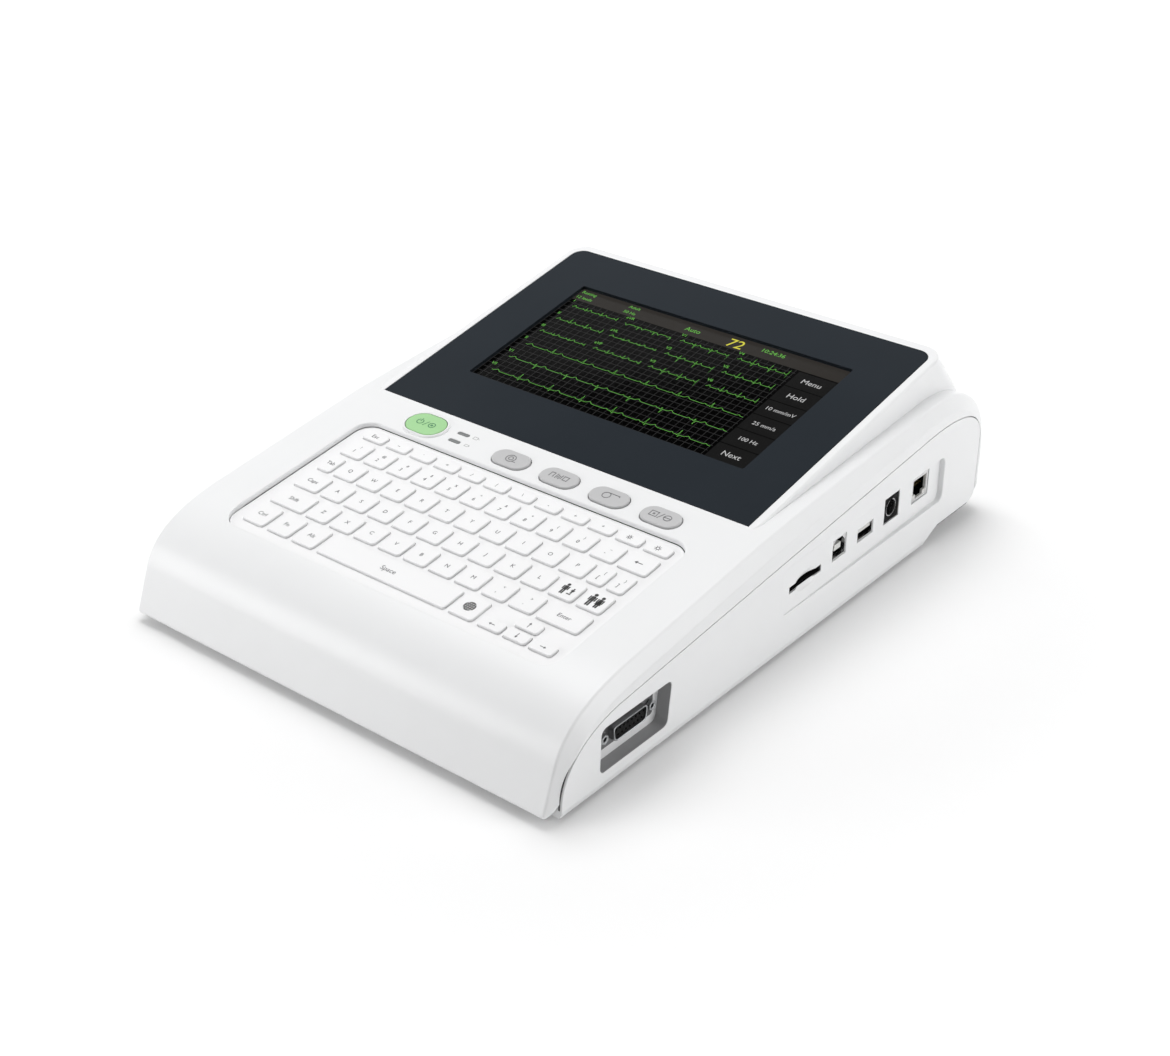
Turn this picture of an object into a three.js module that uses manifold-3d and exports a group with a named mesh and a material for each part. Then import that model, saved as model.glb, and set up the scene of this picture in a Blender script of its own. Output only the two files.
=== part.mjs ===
// Portable 12-lead ECG machine: wedge housing with a raised screen, a recessed keyboard,
// a row of soft buttons, signal ports on the right and a chart recorder on the left.
// Millimetres, +X right, +Y towards the rear, +Z up, the table at z = 0.
import * as THREE from 'three';
import { mergeVertices } from 'three/addons/utils/BufferGeometryUtils.js';
import Module from 'manifold-3d';

const wasm = await Module();
wasm.setup();

// Fits
const fit = 0.3;
const slideFit = 0.35;
const over = 1;

// Housing
const lensSide = 17.3;
const noseRun = 37;
const buttonBand = 25.5;
const rearShelf = 35.9;
const wall = 2.5;
const sideWall = 4.7;
const lipZ = 4;
const noseLean = 20.8;
const noseLow = 26.9;
const noseOut = 40.4;
const foldZ = 69.4;
const deckTilt = 7.85;
const shoulderTilt = 4.4;
const foldIn = 12;
const foldOut = 30;
const shoulderIn = 58;
const shoulderOut = 49;
const rearZ = 8;
const rearRound = 7;
const lipRound = 2.5;
const crestIn = 3.4;
const bandDrop = 7;
const crestRound = 1.2;
const bandStep = 0.4;

// Parting line of the lower tub
const seamFront = 8.2;
const seamBack = 9.9;
const seamTilt = 5.74;
const seamDrop = 17.3;
const seamGap = 0.3;
const seamFrontLow = 5.94;
const seamFrontOut = 42;
const seamRearIn = 56.5;
const seamRearOut = 25.4;
const floorZ = 2;
const plinthBack = 59.3;
const plinthRun = 11;
const sideCrease = 1.2;
const creaseRise = 3.5;
const tubRim = 10;

// Raised screen block
const screenTilt = 10.43;
const lensWidth = 233.9;
const lensDepth = 165.7;
const lensThick = 2;
const lensRound = 7;
const blockBorder = 4.9;
const blockRear = 5.8;
const blockRound = 11;
const blockHeight = 30;
const blockFlare = 1.6;
const blockRearFlare = 15;
const blockEdge = 1.4;
const blockLead = 6;
const lcdWidth = 192;
const lcdDepth = 112;
const lcdThick = 6;
const lcdX = 0.6;
const lcdS = 84.6;
const lcdLedge = 3;

// Keyboard
const keyPanelRound = 9.5;
const keyPanelRim = 0.8;
const keyPanelDrop = 2.6;
const keyPanelThick = 1.6;
const keyLedge = 2.2;
const keyTray = 1.5;
const keyRise = 1.3;
const keyRound = 1.5;
const keyDraft = 0.35;
const keyTravel = 1.2;
const keyFlange = 0.8;
const keyFlangeRim = 0.65;
const keyGap = 2.57;
const keyWidth = 13.7;
const keyDepth = 12.8;
const keyLeftMargin = 7.35;
const keyRightMargin = 6.15;
const keyFrontS = 6.85;
const keyRearMargin = 5.1;
const frontRowDepth = 14.9;
const arrowDepth = 6.5;
const rowGap = 3.6;
const frontRowGap = 3.25;
const topRowDepth = 6.8;
const backspaceWidth = 16.43;
const tabWidth = 8.6;
const bracketWidth = 9;
const capsWidth = 15.9;
const shiftWidth = 22.5;
const modifierWidth = 14.1;
const modifierGap = 2.9;
const globeWidth = 14.2;
const globeGap = 3.23;
const arrowWidth = 13;
const arrowGap = 1.8;

// Buttons above the keyboard
const buttonSetback = 10.4;
const buttonX = 32.1;
const buttonPitch = 31;
const buttonWidth = 22;
const buttonDepth = 12.6;
const buttonRise = 1.2;
const buttonTravel = 1;
const buttonFlange = 1;
const buttonFlangeRim = 1.2;
const powerX = -73.4;
const powerSetback = 12;
const powerWidth = 23.5;
const powerDepth = 16.6;
const collarWidth = 1.5;
const collarRise = 0.8;
const lampX = -50.9;
const lampSetback = 12.1;
const lampWidth = 7.2;
const lampDepth = 2;
const lampPitch = 7.2;
const lampWeb = 1.2;
const boardThick = 1.6;
const boardOverrun = 21.5;
const boardInset = 5.45;
const postRadius = 3;

// Ports on the right
const portWallY = 137;
const portFrontY = -13;
const portLowZ = 23.3;
const portHighZ = 49;
const portDrop = 3.1;
const portDropFront = 0.4;
const portRound = 4;
const portPad = 2.6;
const lanY = 117.4;
const lanZ = 38.4;
const lanWidth = 16.2;
const lanHeight = 14;
const lanDepth = 21;
const auxY = 88.4;
const auxZ = 38.8;
const auxSize = 14;
const auxDepth = 13;
const auxBore = 9.6;
const usbAY = 62.9;
const usbAZ = 36.6;
const usbAWidth = 14.3;
const usbAHeight = 7.1;
const usbADepth = 17;
const usbBY = 38.3;
const usbBZ = 38.6;
const usbBWidth = 12.1;
const usbBHeight = 11.2;
const usbBDepth = 16;
const shellThick = 0.6;
const cardY = 7.8;
const cardZ = 34.8;
const cardWidth = 27.6;
const cardHeight = 3.2;
const cardSlotWidth = 24.8;
const cardSlotHeight = 2.3;
const cardDepth = 26;

// Patient lead connector
const leadFront = 58.9;
const leadZ = 22.7;
const leadPocketStart = 34.2;
const leadPocketEnd = 81.8;
const leadPocketLeans = [1.2, 3];
const leadPocketLow = 10.4;
const leadPocketHigh = 33;
const leadPocketDeep = 7;
const leadPocketRound = 3;
const leadPocketWall = 2;
const flangeWidth = 39.1;
const flangeHeight = 12.6;
const flangeThick = 0.8;
const shellWidth = 23.8;
const shellHeight = 8;
const shellSlant = 10;
const shellRound = 2.2;
const shellOut = 3.9;
const shellBack = 9;
const pinPitch = 2.76;
const pinRow = 1.42;
const pinHole = 0.6;
const pinHoleDeep = 4;
const screwSpacing = 33.3;
const screwHex = 2.5;
const screwLong = 1.9;
const screwBore = 1.25;

// Boards and power inside
const mainBoardX = 38;
const mainBoardFront = -22;
const mainBoardRear = 142;
const mainBoardZ = 30.7;
const moduleWidth = 58;
const moduleDepth = 62;
const moduleHeight = 19;
const moduleLift = 6;
const batteryDepth = 72;
const batteryHeight = 21;
const batteryGap = 9;
const batterySetback = 33.95;
const batteryFront = 95.3;
const batteryDoorRim = 4;
const batteryDoorRound = 6;
const supplyWidth = 76;
const supplyDepth = 92;
const supplyX = -20;
const supplyY = 96;
const supplyZ = 16;
const supplyPartHeight = 22;
const inletX = -32;
const inletZ = 30;
const inletWidth = 27.6;
const inletHeight = 20.2;
const inletDeep = 24;
const inletPlate = 2.2;
const inletRim = 4.4;
const inletMouthWidth = 24.6;
const inletMouthHeight = 16.6;
const inletMouthDeep = 15;
const inletChamfer = 4.5;
const postX = 14;
const groundRadius = 3;
const groundLong = 12;
const groundNut = 5.5;
const speakerRadius = 19;
const speakerHigh = 9;
const speakerSide = 26.25;
const speakerFront = 65.3;
const grilleSlots = 5;
const grilleSlotWidth = 1.8;
const footWidth = 12;
const footDepth = 18;
const footRound = 4;
const footInX = 8;
const footSeat = 0.9;
const footFront = 18.8;
const footRear = 71.3;

// Chart recorder on the left
const doorSetback = 179.3;
const doorLength = 122;
const doorTop = 50;
const doorHingeZ = 13.5;
const doorBarrel = 2.8;
const doorRound = 3;
const doorThick = 2.5;
const doorPin = 1.5;
const doorPinLong = 3;
const paperRadius = 16;
const paperCore = 6;
const paperLength = 112;
const paperX = 35;
const paperZ = 26;
const paperRun = 60;
const cradleWall = 1.6;
const endPlate = 2;
const platenRadius = 6;
const platenX = 13.2;
const platenZ = 44.8;
const shaftRadius = 2;
const shaftFit = 0.1;
const headThick = 6;
const headHigh = 10;
const gearTeeth = 24;
const pinionTeeth = 12;
const gearModule = 0.8;
const gearFace = 4;
const motorRadius = 11;
const motorLong = 20;
const latchRun = 59;
const latchWidth = 14;
const latchHigh = 4.6;
const latchTravel = 1.4;
const latchZ = 53.1;
const paperSlot = 1.6;

// Derived planes
const rad = THREE.MathUtils.degToRad;
const columnPitch = keyWidth + keyGap;
const rowPitch = keyDepth + rowGap;
const secondRowS = keyFrontS + frontRowDepth + frontRowGap;
const keyPanelDepth = secondRowS + 4 * rowPitch + topRowDepth + keyRearMargin;
const keyFieldWidth = 11 * columnPitch + backspaceWidth;
const keyPanelWidth = keyLeftMargin + keyFieldWidth + keyRightMargin;
const keyLeft = keyLeftMargin - keyPanelWidth / 2;
const keyRight = keyLeft + keyFieldWidth;
const buttonS = keyPanelDepth + buttonSetback;
const powerS = keyPanelDepth + powerSetback;
const lampS = keyPanelDepth + lampSetback;
const boardEnd = keyPanelDepth + boardOverrun;
const boardHalf = keyPanelWidth / 2 - boardInset;
const width = lensWidth + 2 * lensSide;
const depth = noseRun + keyPanelDepth + buttonBand + lensDepth + rearShelf;
const half = width / 2;
const frontY = -depth / 2;
const rearY = depth / 2;
const doorFront = rearY - doorSetback;
const paperY = doorFront + paperRun;
const latchY = doorFront + latchRun;
const keyY = frontY + noseRun;
const foldY = keyY + keyPanelDepth + buttonBand;
const plinthEnd = rearY - plinthBack;
const batteryY = frontY + batteryFront;
const leadY = frontY + leadFront;
const leadPocketFront = -frontY - leadPocketStart;
const leadPocketRear = -frontY - leadPocketEnd;
const speakerX = speakerSide - half;
const speakerY = frontY + speakerFront;
const deckSlope = Math.tan(rad(deckTilt));
const deckZ = (y) => foldZ + (y - foldY) * deckSlope;
const seamSlope = Math.tan(rad(seamTilt));
const seamZ = (y) => foldZ - seamDrop + (y - foldY) * seamSlope;
const boardDrop = keyPanelDrop + keyPanelThick + fit + keyFlange + keyTravel + fit;

// Frames on the tilted panels: x across, y up the slope, z out of the panel
const panelFrame = (x, y, z, tilt) => new THREE.Matrix4().makeTranslation(x, y, z)
  .multiply(new THREE.Matrix4().makeRotationX(rad(tilt)));
const keyFrame = panelFrame(0, keyY, deckZ(keyY), deckTilt);
const lensFrame = panelFrame(0, foldY, foldZ, screenTilt);

// Turns an outline drawn in (y, z) and extruded along its normal to face along +X
const alongX = new THREE.Matrix4().makeBasis(
  new THREE.Vector3(0, 1, 0),
  new THREE.Vector3(0, 0, 1),
  new THREE.Vector3(1, 0, 0),
);
// Turns an outline drawn in (x, z) and extruded along its normal to face along +Y
const alongY = new THREE.Matrix4().makeBasis(
  new THREE.Vector3(-1, 0, 0),
  new THREE.Vector3(0, 0, 1),
  new THREE.Vector3(0, 1, 0),
);

// A closed geometry as a solid
function solid(geometry) {
  const bare = geometry.clone();
  for (const name of Object.keys(bare.attributes)) {
    if (name !== 'position') bare.deleteAttribute(name);
  }
  const merged = mergeVertices(bare);
  const count = merged.index ? merged.index.count : merged.attributes.position.count;
  const index = merged.index ? merged.index.array : Uint32Array.from({ length: count }, (v, i) => i);
  const made = new wasm.Mesh({
    numProp: 3,
    vertProperties: new Float32Array(merged.attributes.position.array),
    triVerts: new Uint32Array(index),
  });
  return new wasm.Manifold(made);
}

// A solid moved by a matrix
const moved = (body, matrix) => body.transform(matrix.elements);
const shifted = (body, x, y, z) => moved(body, new THREE.Matrix4().makeTranslation(x, y, z));

// Points of a shape, drawn counter-clockwise
function counter(points) {
  return THREE.ShapeUtils.isClockWise(points) ? points.reverse() : points;
}

// Points along an arc, from one angle to another
function arcPoints(x, y, radius, from, to, steps) {
  const points = [];
  for (let i = 0; i <= steps; i += 1) {
    const angle = from + (to - from) * i / steps;
    points.push(new THREE.Vector2(x + Math.cos(angle) * radius, y + Math.sin(angle) * radius));
  }
  return points;
}

// Rounded rectangle centred on a point
function rectPoints(w, h, r, x = 0, y = 0, steps = 3) {
  const round = Math.min(r, w / 2, h / 2);
  const side = w / 2 - round;
  const rise = h / 2 - round;
  const points = [];
  [[1, -1], [1, 1], [-1, 1], [-1, -1]].forEach(([sx, sy], i) => {
    const from = (i - 1) * Math.PI / 2;
    points.push(...arcPoints(x + sx * side, y + sy * rise, round, from, from + Math.PI / 2, steps));
  });
  return tidy(points);
}

// Drops repeated neighbours
function tidy(points) {
  const kept = [];
  for (const p of points) {
    const last = kept[kept.length - 1];
    if (!last || last.distanceTo(p) > Number.EPSILON * depth * width) kept.push(p);
  }
  if (kept[0].distanceTo(kept[kept.length - 1]) <= Number.EPSILON * depth * width) kept.pop();
  return counter(kept);
}

// A stack of equal-count outlines, each at its own height, closed at both ends
function stack(rings) {
  const count = rings[0].points.length;
  const position = [];
  for (const ring of rings) {
    for (const p of ring.points) position.push(p.x, p.y, ring.z);
  }
  const index = [];
  for (let level = 0; level + 1 < rings.length; level += 1) {
    for (let i = 0; i < count; i += 1) {
      const next = (i + 1) % count;
      const a = level * count + i;
      const b = level * count + next;
      const c = a + count;
      const d = b + count;
      index.push(a, b, d, a, d, c);
    }
  }
  const base = THREE.ShapeUtils.triangulateShape(rings[0].points, []);
  const top = THREE.ShapeUtils.triangulateShape(rings[rings.length - 1].points, []);
  const last = (rings.length - 1) * count;
  for (const [a, b, c] of base) index.push(c, b, a);
  for (const [a, b, c] of top) index.push(last + a, last + b, last + c);
  const geometry = new THREE.BufferGeometry();
  geometry.setAttribute('position', new THREE.Float32BufferAttribute(position, 3));
  geometry.setIndex(index);
  return solid(geometry);
}

// A prism over an outline between two heights
const prism = (points, low, high) => stack([{ points, z: low }, { points, z: high }]);
const box = (w, h, low, high, x = 0, y = 0) => prism(rectPoints(w, h, 0, x, y, 1), low, high);

// A box between two corners
function block(x0, x1, y0, y1, z0, z1) {
  const geometry = new THREE.BoxGeometry(x1 - x0, y1 - y0, z1 - z0);
  geometry.translate((x0 + x1) / 2, (y0 + y1) / 2, (z0 + z1) / 2);
  return solid(geometry);
}

// A round bar from one height to another
function rod(radius, low, high, sides = 16) {
  const geometry = new THREE.CylinderGeometry(radius, radius, high - low, sides);
  geometry.rotateX(Math.PI / 2);
  geometry.translate(0, 0, (low + high) / 2);
  return solid(geometry);
}

// Joins and cuts
const join = (...bodies) => bodies.reduce((a, b) => a.add(b));
const cut = (body, ...tools) => tools.reduce((a, b) => a.subtract(b), body);

// A side profile of straight lines blended at its corners, moved inwards by an inset
function blended(corners, inset, steps) {
  const count = corners.length;
  const lines = corners.map((c, i) => {
    const n = corners[(i + 1) % count];
    const along = new THREE.Vector2(n.y - c.y, n.z - c.z).normalize();
    const inward = new THREE.Vector2(along.y, -along.x);
    return { at: new THREE.Vector2(c.y, c.z).addScaledVector(inward, inset), along };
  });
  const meets = corners.map((c, i) => {
    const a = lines[(i + count - 1) % count];
    const b = lines[i];
    const cross = a.along.cross(b.along);
    const t = b.at.clone().sub(a.at).cross(b.along) / cross;
    return a.at.clone().addScaledVector(a.along, t);
  });
  const points = [];
  corners.forEach((c, i) => {
    const a = lines[(i + count - 1) % count].along;
    const b = lines[i].along;
    if (!c.into) {
      points.push(meets[i].clone());
      return;
    }
    const turn = Math.acos(THREE.MathUtils.clamp(a.dot(b), -1, 1));
    const less = inset * Math.tan(turn / 2);
    const into = Math.max(c.into - less, c.into * leastBlendShare);
    const out = Math.max(c.out - less, c.out * leastBlendShare);
    const start = meets[i].clone().addScaledVector(a, -into);
    const end = meets[i].clone().addScaledVector(b, out);
    const curve = new THREE.CubicBezierCurve(
      start,
      start.clone().lerp(meets[i], c.pullShares[0]),
      end.clone().lerp(meets[i], c.pullShares[1]),
      end,
    );
    points.push(...curve.getPoints(c.steps ?? steps));
  });
  return points;
}

const leastBlendShare = 0.15;
const evenPullShares = [0.55, 0.55];

// Outer side profile, clockwise from the front lip over the deck to the rear
const noseSlope = Math.tan(rad(noseLean));
const noseZ = (deckZ(frontY) - noseSlope * deckSlope * lipZ) / (1 - noseSlope * deckSlope);
const outerCorners = [
  { y: frontY, z: lipZ, into: lipRound, out: lipRound, pullShares: evenPullShares, steps: 2 },
  {
    y: frontY + (noseZ - lipZ) * noseSlope,
    z: noseZ,
    into: (noseZ - noseLow) / Math.cos(rad(noseLean)),
    out: noseOut,
    pullShares: [0.65, 0.7],
    steps: 8,
  },
  { y: foldY, z: foldZ, into: foldIn, out: foldOut, pullShares: evenPullShares, steps: 3 },
  {
    y: rearY,
    z: foldZ + (rearY - foldY) * Math.tan(rad(shoulderTilt)),
    into: shoulderIn,
    out: shoulderOut,
    pullShares: [0.65, 0.55],
    steps: 7,
  },
  { y: rearY, z: rearZ, into: rearRound, out: rearRound, pullShares: evenPullShares, steps: 3 },
];

// Side profile of the lower tub, clockwise from the front
const tubFront = frontY + seamFront;
const tubRear = rearY - seamBack;
const tubCorners = (base, rear) => [
  { y: tubFront, z: base },
  {
    y: tubFront,
    z: seamZ(tubFront),
    into: seamZ(tubFront) - seamFrontLow,
    out: seamFrontOut,
    pullShares: [0.6, 0.65],
    steps: 9,
  },
  {
    y: tubRear,
    z: seamZ(tubRear),
    into: seamRearIn,
    out: seamRearOut,
    pullShares: [0.6, 0.7],
    steps: 8,
  },
  { y: tubRear, z: rear, into: rearRound, out: rearRound, pullShares: evenPullShares, steps: 3 },
  { y: plinthEnd + plinthRun, z: rear },
  { y: plinthEnd, z: base },
];

// Side profiles stacked across the width
const across = (rings) => moved(stack(rings.map((r) => ({ points: counter(r.points), z: r.x }))), alongX);
const mirrored = (rings) => [...rings, ...rings.slice().reverse().map((r) => ({ points: r.points, x: -r.x }))];

const outer = across(mirrored([
  { inset: bandDrop + crestRound, x: -half },
  { inset: bandDrop, x: bandStep - half },
  { inset: crestRound, x: crestIn - half },
  { inset: crestRound * 0.3, x: crestIn + crestRound * 0.4 - half },
  { inset: 0, x: crestIn + crestRound * 1.2 - half },
].map((r) => ({ points: blended(outerCorners, r.inset), x: r.x }))));

const hollowHalf = half - sideWall;
const hollowProfile = blended(outerCorners, wall);
const hollow = across([{ points: hollowProfile, x: -hollowHalf }, { points: hollowProfile, x: hollowHalf }]);

// The region inside the parting line, grown or shrunk by half of the gap
const parting = blended(tubCorners(floorZ - wall, rearZ - wall), -seamGap / 2);
const partingBody = across([
  { points: parting, x: -half - over },
  { points: parting, x: half + over },
]);

// Raised screen block and the space below it
const blockTop = (inset, flare, rearFlare) => {
  const w = lensWidth + 2 * (blockBorder + flare - inset);
  const front = -blockLead;
  const end = lensDepth + blockRear + rearFlare - inset;
  return rectPoints(w, end - front, blockRound, 0, (end + front) / 2, 4);
};
const blockRings = (inset, low, top) => [
  { points: blockTop(inset, blockFlare, blockRearFlare), z: low },
  { points: blockTop(inset, 0, 0), z: top - blockEdge },
  { points: blockTop(inset + blockEdge * 0.3, 0, 0), z: top - blockEdge * 0.3 },
  { points: blockTop(inset + blockEdge, 0, 0), z: top },
];
const screenBlock = moved(stack(blockRings(0, -blockHeight, 0)), lensFrame);
const blockHollow = moved(stack(blockRings(wall, -blockHeight - over, -wall - lensThick)), lensFrame);

// Recess for the lens and the window for the display behind it
const lensPoints = (grow) => {
  const w = lensWidth + 2 * grow;
  const d = lensDepth + 2 * grow;
  const right = w / 2 - lensRound;
  const rear = d - grow - lensRound;
  return tidy([
    new THREE.Vector2(-w / 2, -grow),
    new THREE.Vector2(w / 2, -grow),
    ...arcPoints(right, rear, lensRound, 0, Math.PI / 2, 5),
    ...arcPoints(-right, rear, lensRound, Math.PI / 2, Math.PI, 5),
  ]);
};
const lensPocket = moved(prism(lensPoints(fit), -lensThick - fit, over + blockEdge), lensFrame);
const lcdWindow = moved(
  box(lcdWidth + 2 * fit, lcdDepth + 2 * fit, -lensThick - lcdThick - blockHeight, 0, lcdX, lcdS),
  lensFrame,
);

// Display frame ribs that hold the display below the lens
const lcdRibs = moved(
  cut(
    box(
      lcdWidth + 2 * (fit + lcdLedge),
      lcdDepth + 2 * (fit + lcdLedge),
      -lensThick - lcdThick - fit,
      -lensThick - fit,
      lcdX,
      lcdS,
    ),
  ),
  lensFrame,
);

// Keyboard tray: recess, ledge and window
const panelMid = keyPanelDepth / 2;
const recessPoints = (grow) => rectPoints(
  keyPanelWidth + 2 * grow,
  keyPanelDepth + 2 * grow,
  keyPanelRound + grow,
  0,
  panelMid,
  4,
);
const recessFloor = -keyPanelDrop - keyPanelThick - fit;
const tray = moved(prism(recessPoints(wall), recessFloor - keyTray, -wall / 2), keyFrame);
const recess = moved(
  stack([
    { points: recessPoints(fit), z: recessFloor },
    { points: recessPoints(fit), z: -keyPanelRim },
    { points: recessPoints(fit + keyPanelRim), z: 0 },
    { points: recessPoints(fit + keyPanelRim), z: over },
  ]),
  keyFrame,
);
const keyWindow = moved(prism(recessPoints(-keyLedge), recessFloor - keyTray - over, 0), keyFrame);

// The 69 keys, row by row from the front: left edge, width, front edge, depth and name
const rowS = (row) => secondRowS + (row - 1) * rowPitch;
const keys = [];
const addKey = (name, x, w, s, d) => keys.push({ name, x: x + w / 2, w, s: s + d / 2, d });
const addRow = (names, x, w, s, d, pitch) => names.forEach((n, i) => addKey(n, x + i * pitch, w, s, d));

const modifierPitch = modifierWidth + modifierGap;
addRow(['ctrl_key', 'fn_key', 'alt_key'], keyLeft, modifierWidth, keyFrontS, frontRowDepth, modifierPitch);
const arrowPitch = arrowWidth + arrowGap;
const arrowLeft = keyRight - 2 * arrowPitch - arrowWidth;
const globeLeft = arrowLeft - globeGap - globeWidth;
const spaceLeft = keyLeft + 3 * modifierPitch;
addKey('space_key', spaceLeft, globeLeft - keyGap - spaceLeft, keyFrontS, frontRowDepth);
addKey('language_key', globeLeft, globeWidth, keyFrontS, frontRowDepth);
const upperArrowS = keyFrontS + frontRowDepth - arrowDepth;
addKey('left_key', arrowLeft, arrowWidth, keyFrontS, arrowDepth);
addKey('down_key', arrowLeft + arrowPitch, arrowWidth, keyFrontS, arrowDepth);
addKey('up_key', arrowLeft + arrowPitch, arrowWidth, upperArrowS, arrowDepth);
addKey('right_key', arrowLeft + 2 * arrowPitch, arrowWidth, keyFrontS, arrowDepth);

const shiftRight = keyLeft + shiftWidth + keyGap;
addKey('shift_key', keyLeft, shiftWidth, rowS(1), keyDepth);
addRow(Array(9).fill(null), shiftRight, keyWidth, rowS(1), keyDepth, columnPitch);
const enterLeft = shiftRight + 9 * columnPitch;
addKey('enter_key', enterLeft, keyRight - enterLeft, rowS(1), keyDepth);

const capsRight = keyLeft + capsWidth + keyGap;
const familyNames = [...Array(9).fill(null), 'child_key', 'adult_key'];
addKey('caps_key', keyLeft, capsWidth, rowS(2), keyDepth);
addRow(familyNames, capsRight, keyWidth, rowS(2), keyDepth, columnPitch);

const tabRight = keyLeft + tabWidth + keyGap;
const bracketLeft = tabRight + 10 * columnPitch;
addKey('tab_key', keyLeft, tabWidth, rowS(3), keyDepth);
addRow(Array(10).fill(null), tabRight, keyWidth, rowS(3), keyDepth, columnPitch);
addRow([null, null], bracketLeft, bracketWidth, rowS(3), keyDepth, bracketWidth + keyGap);

const backspaceLeft = keyLeft + 11 * columnPitch;
addRow(Array(11).fill(null), keyLeft, keyWidth, rowS(4), keyDepth, columnPitch);
addKey('backspace_key', backspaceLeft, keyRight - backspaceLeft, rowS(4), keyDepth);

const topPitch = (keyRight - keyLeft + keyGap) / 12;
const topNames = ['escape_key', ...Array(9).fill(null), 'dimmer_key', 'brighter_key'];
addRow(topNames, keyLeft, topPitch - keyGap, rowS(5), topRowDepth, topPitch);

// Key cap from its foot to its crown
function keyCap(key, foot, crown) {
  const ring = (grow, z) => ({
    points: rectPoints(key.w + 2 * grow, key.d + 2 * grow, keyRound + grow, key.x, key.s, 1),
    z,
  });
  return [ring(0, foot), ring(0, crown - keyDraft), ring(-keyDraft, crown)];
}
const panelTop = -keyPanelDrop;
const panelBase = panelTop - keyPanelThick;
const crown = panelTop + keyRise;

function looseKey(key) {
  const rim = keyFlangeRim;
  const flange = prism(
    rectPoints(key.w + 2 * rim, key.d + 2 * rim, keyRound + rim, key.x, key.s, 1),
    panelBase - fit - keyFlange,
    panelBase - fit,
  );
  return join(flange, stack(keyCap(key, panelBase - fit - keyFlange / 2, crown)));
}
const keyHole = (key) => prism(
  rectPoints(key.w + 2 * slideFit, key.d + 2 * slideFit, keyRound + slideFit, key.x, key.s, 1),
  panelBase - over,
  panelTop + over,
);

let keypad = prism(recessPoints(0), panelBase, panelTop);
keypad = cut(keypad, ...keys.filter((k) => k.name).map(keyHole));
keypad = join(keypad, ...keys.filter((k) => !k.name).map((k) => stack(keyCap(k, panelTop - keyDraft, crown))));

// Buttons, their holes, the ring round the power button and the two lamps
const pill = (w, d, grow, x, s) => rectPoints(w + 2 * grow, d + 2 * grow, d / 2 + grow, x, s, 5);
const buttonBase = -wall - fit;
function buttonBody(w, d, x, s) {
  const rim = buttonFlangeRim;
  return join(
    prism(pill(w, d, rim, x, s), buttonBase - buttonFlange, buttonBase),
    stack([
      { points: pill(w, d, 0, x, s), z: buttonBase - buttonFlange / 2 },
      { points: pill(w, d, 0, x, s), z: buttonRise - keyDraft },
      { points: pill(w, d, -keyDraft, x, s), z: buttonRise },
    ]),
  );
}
const buttonHole = (w, d, x, s) => prism(pill(w, d, slideFit, x, s), -2 * wall - over, over + collarRise);
const softButtons = [0, 1, 2, 3].map((i) => (i - 1.5) * buttonPitch + buttonX);
const collar = cut(
  stack([
    { points: pill(powerWidth, powerDepth, slideFit + collarWidth, powerX, powerS), z: -wall / 2 },
    { points: pill(powerWidth, powerDepth, slideFit + collarWidth, powerX, powerS), z: collarRise / 2 },
    { points: pill(powerWidth, powerDepth, slideFit + collarWidth / 2, powerX, powerS), z: collarRise },
  ]),
);
const lampBar = (grow, low, high, i) => prism(
  rectPoints(lampWidth + 2 * grow, lampDepth + 2 * grow, lampDepth, lampX, lampS + (i - 0.5) * lampPitch, 2),
  low,
  high,
);
const lightPipe = join(
  lampBar(0, buttonBase - lampWeb / 2, 0, 0),
  lampBar(0, buttonBase - lampWeb / 2, 0, 1),
  box(lampWidth + 2 * lampWeb, lampPitch + lampDepth + 2 * lampWeb, buttonBase - lampWeb, buttonBase, lampX, lampS),
);

// Circuit board below keys and buttons, on posts from the deck
const boardTop = -boardDrop;
const boardFront = keyLedge + fit;
const frontPanelBoard = box(
  2 * boardHalf,
  boardEnd - boardFront,
  boardTop - boardThick,
  boardTop,
  0,
  (boardEnd + boardFront) / 2,
);
const boardPost = (x, s) => shifted(rod(postRadius, boardTop + fit, -wall / 2, 10), x, s, 0);
const firstButtonX = buttonX - 1.5 * buttonPitch;
const postXs = [postRadius - boardHalf, (lampX + firstButtonX) / 2, boardHalf - postRadius];
const boardPosts = postXs.map((x) => boardPost(x, boardEnd - postRadius));

// Upper housing
const deckTools = [
  recess,
  keyWindow,
  lensPocket,
  lcdWindow,
  ...softButtons.map((x) => moved(buttonHole(buttonWidth, buttonDepth, x, buttonS), keyFrame)),
  moved(buttonHole(powerWidth, powerDepth, powerX, powerS), keyFrame),
  ...[0, 1].map((i) => moved(lampBar(fit, -2 * wall, over, i), keyFrame)),
];
const inletHole = block(
  inletX - inletWidth / 2 - fit,
  inletX + inletWidth / 2 + fit,
  rearY - 2 * wall,
  rearY + over,
  inletZ - inletHeight / 2 - fit,
  inletZ + inletHeight / 2 + fit,
);
const groundHole = moved(
  rod(groundRadius + fit, 0, 3 * wall),
  new THREE.Matrix4().makeTranslation(postX, rearY + over, inletZ).multiply(
    new THREE.Matrix4().makeRotationX(Math.PI / 2),
  ),
);
const shellBody = join(outer, screenBlock);
const shellHollow = join(hollow, blockHollow);
const deckAdds = [tray, lcdRibs, ...boardPosts.map((p) => moved(p, keyFrame)), moved(collar, keyFrame)];
const topHousing = cut(
  join(cut(shellBody, shellHollow, partingBody), ...deckAdds),
  ...deckTools,
  inletHole,
  groundHole,
);

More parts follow.
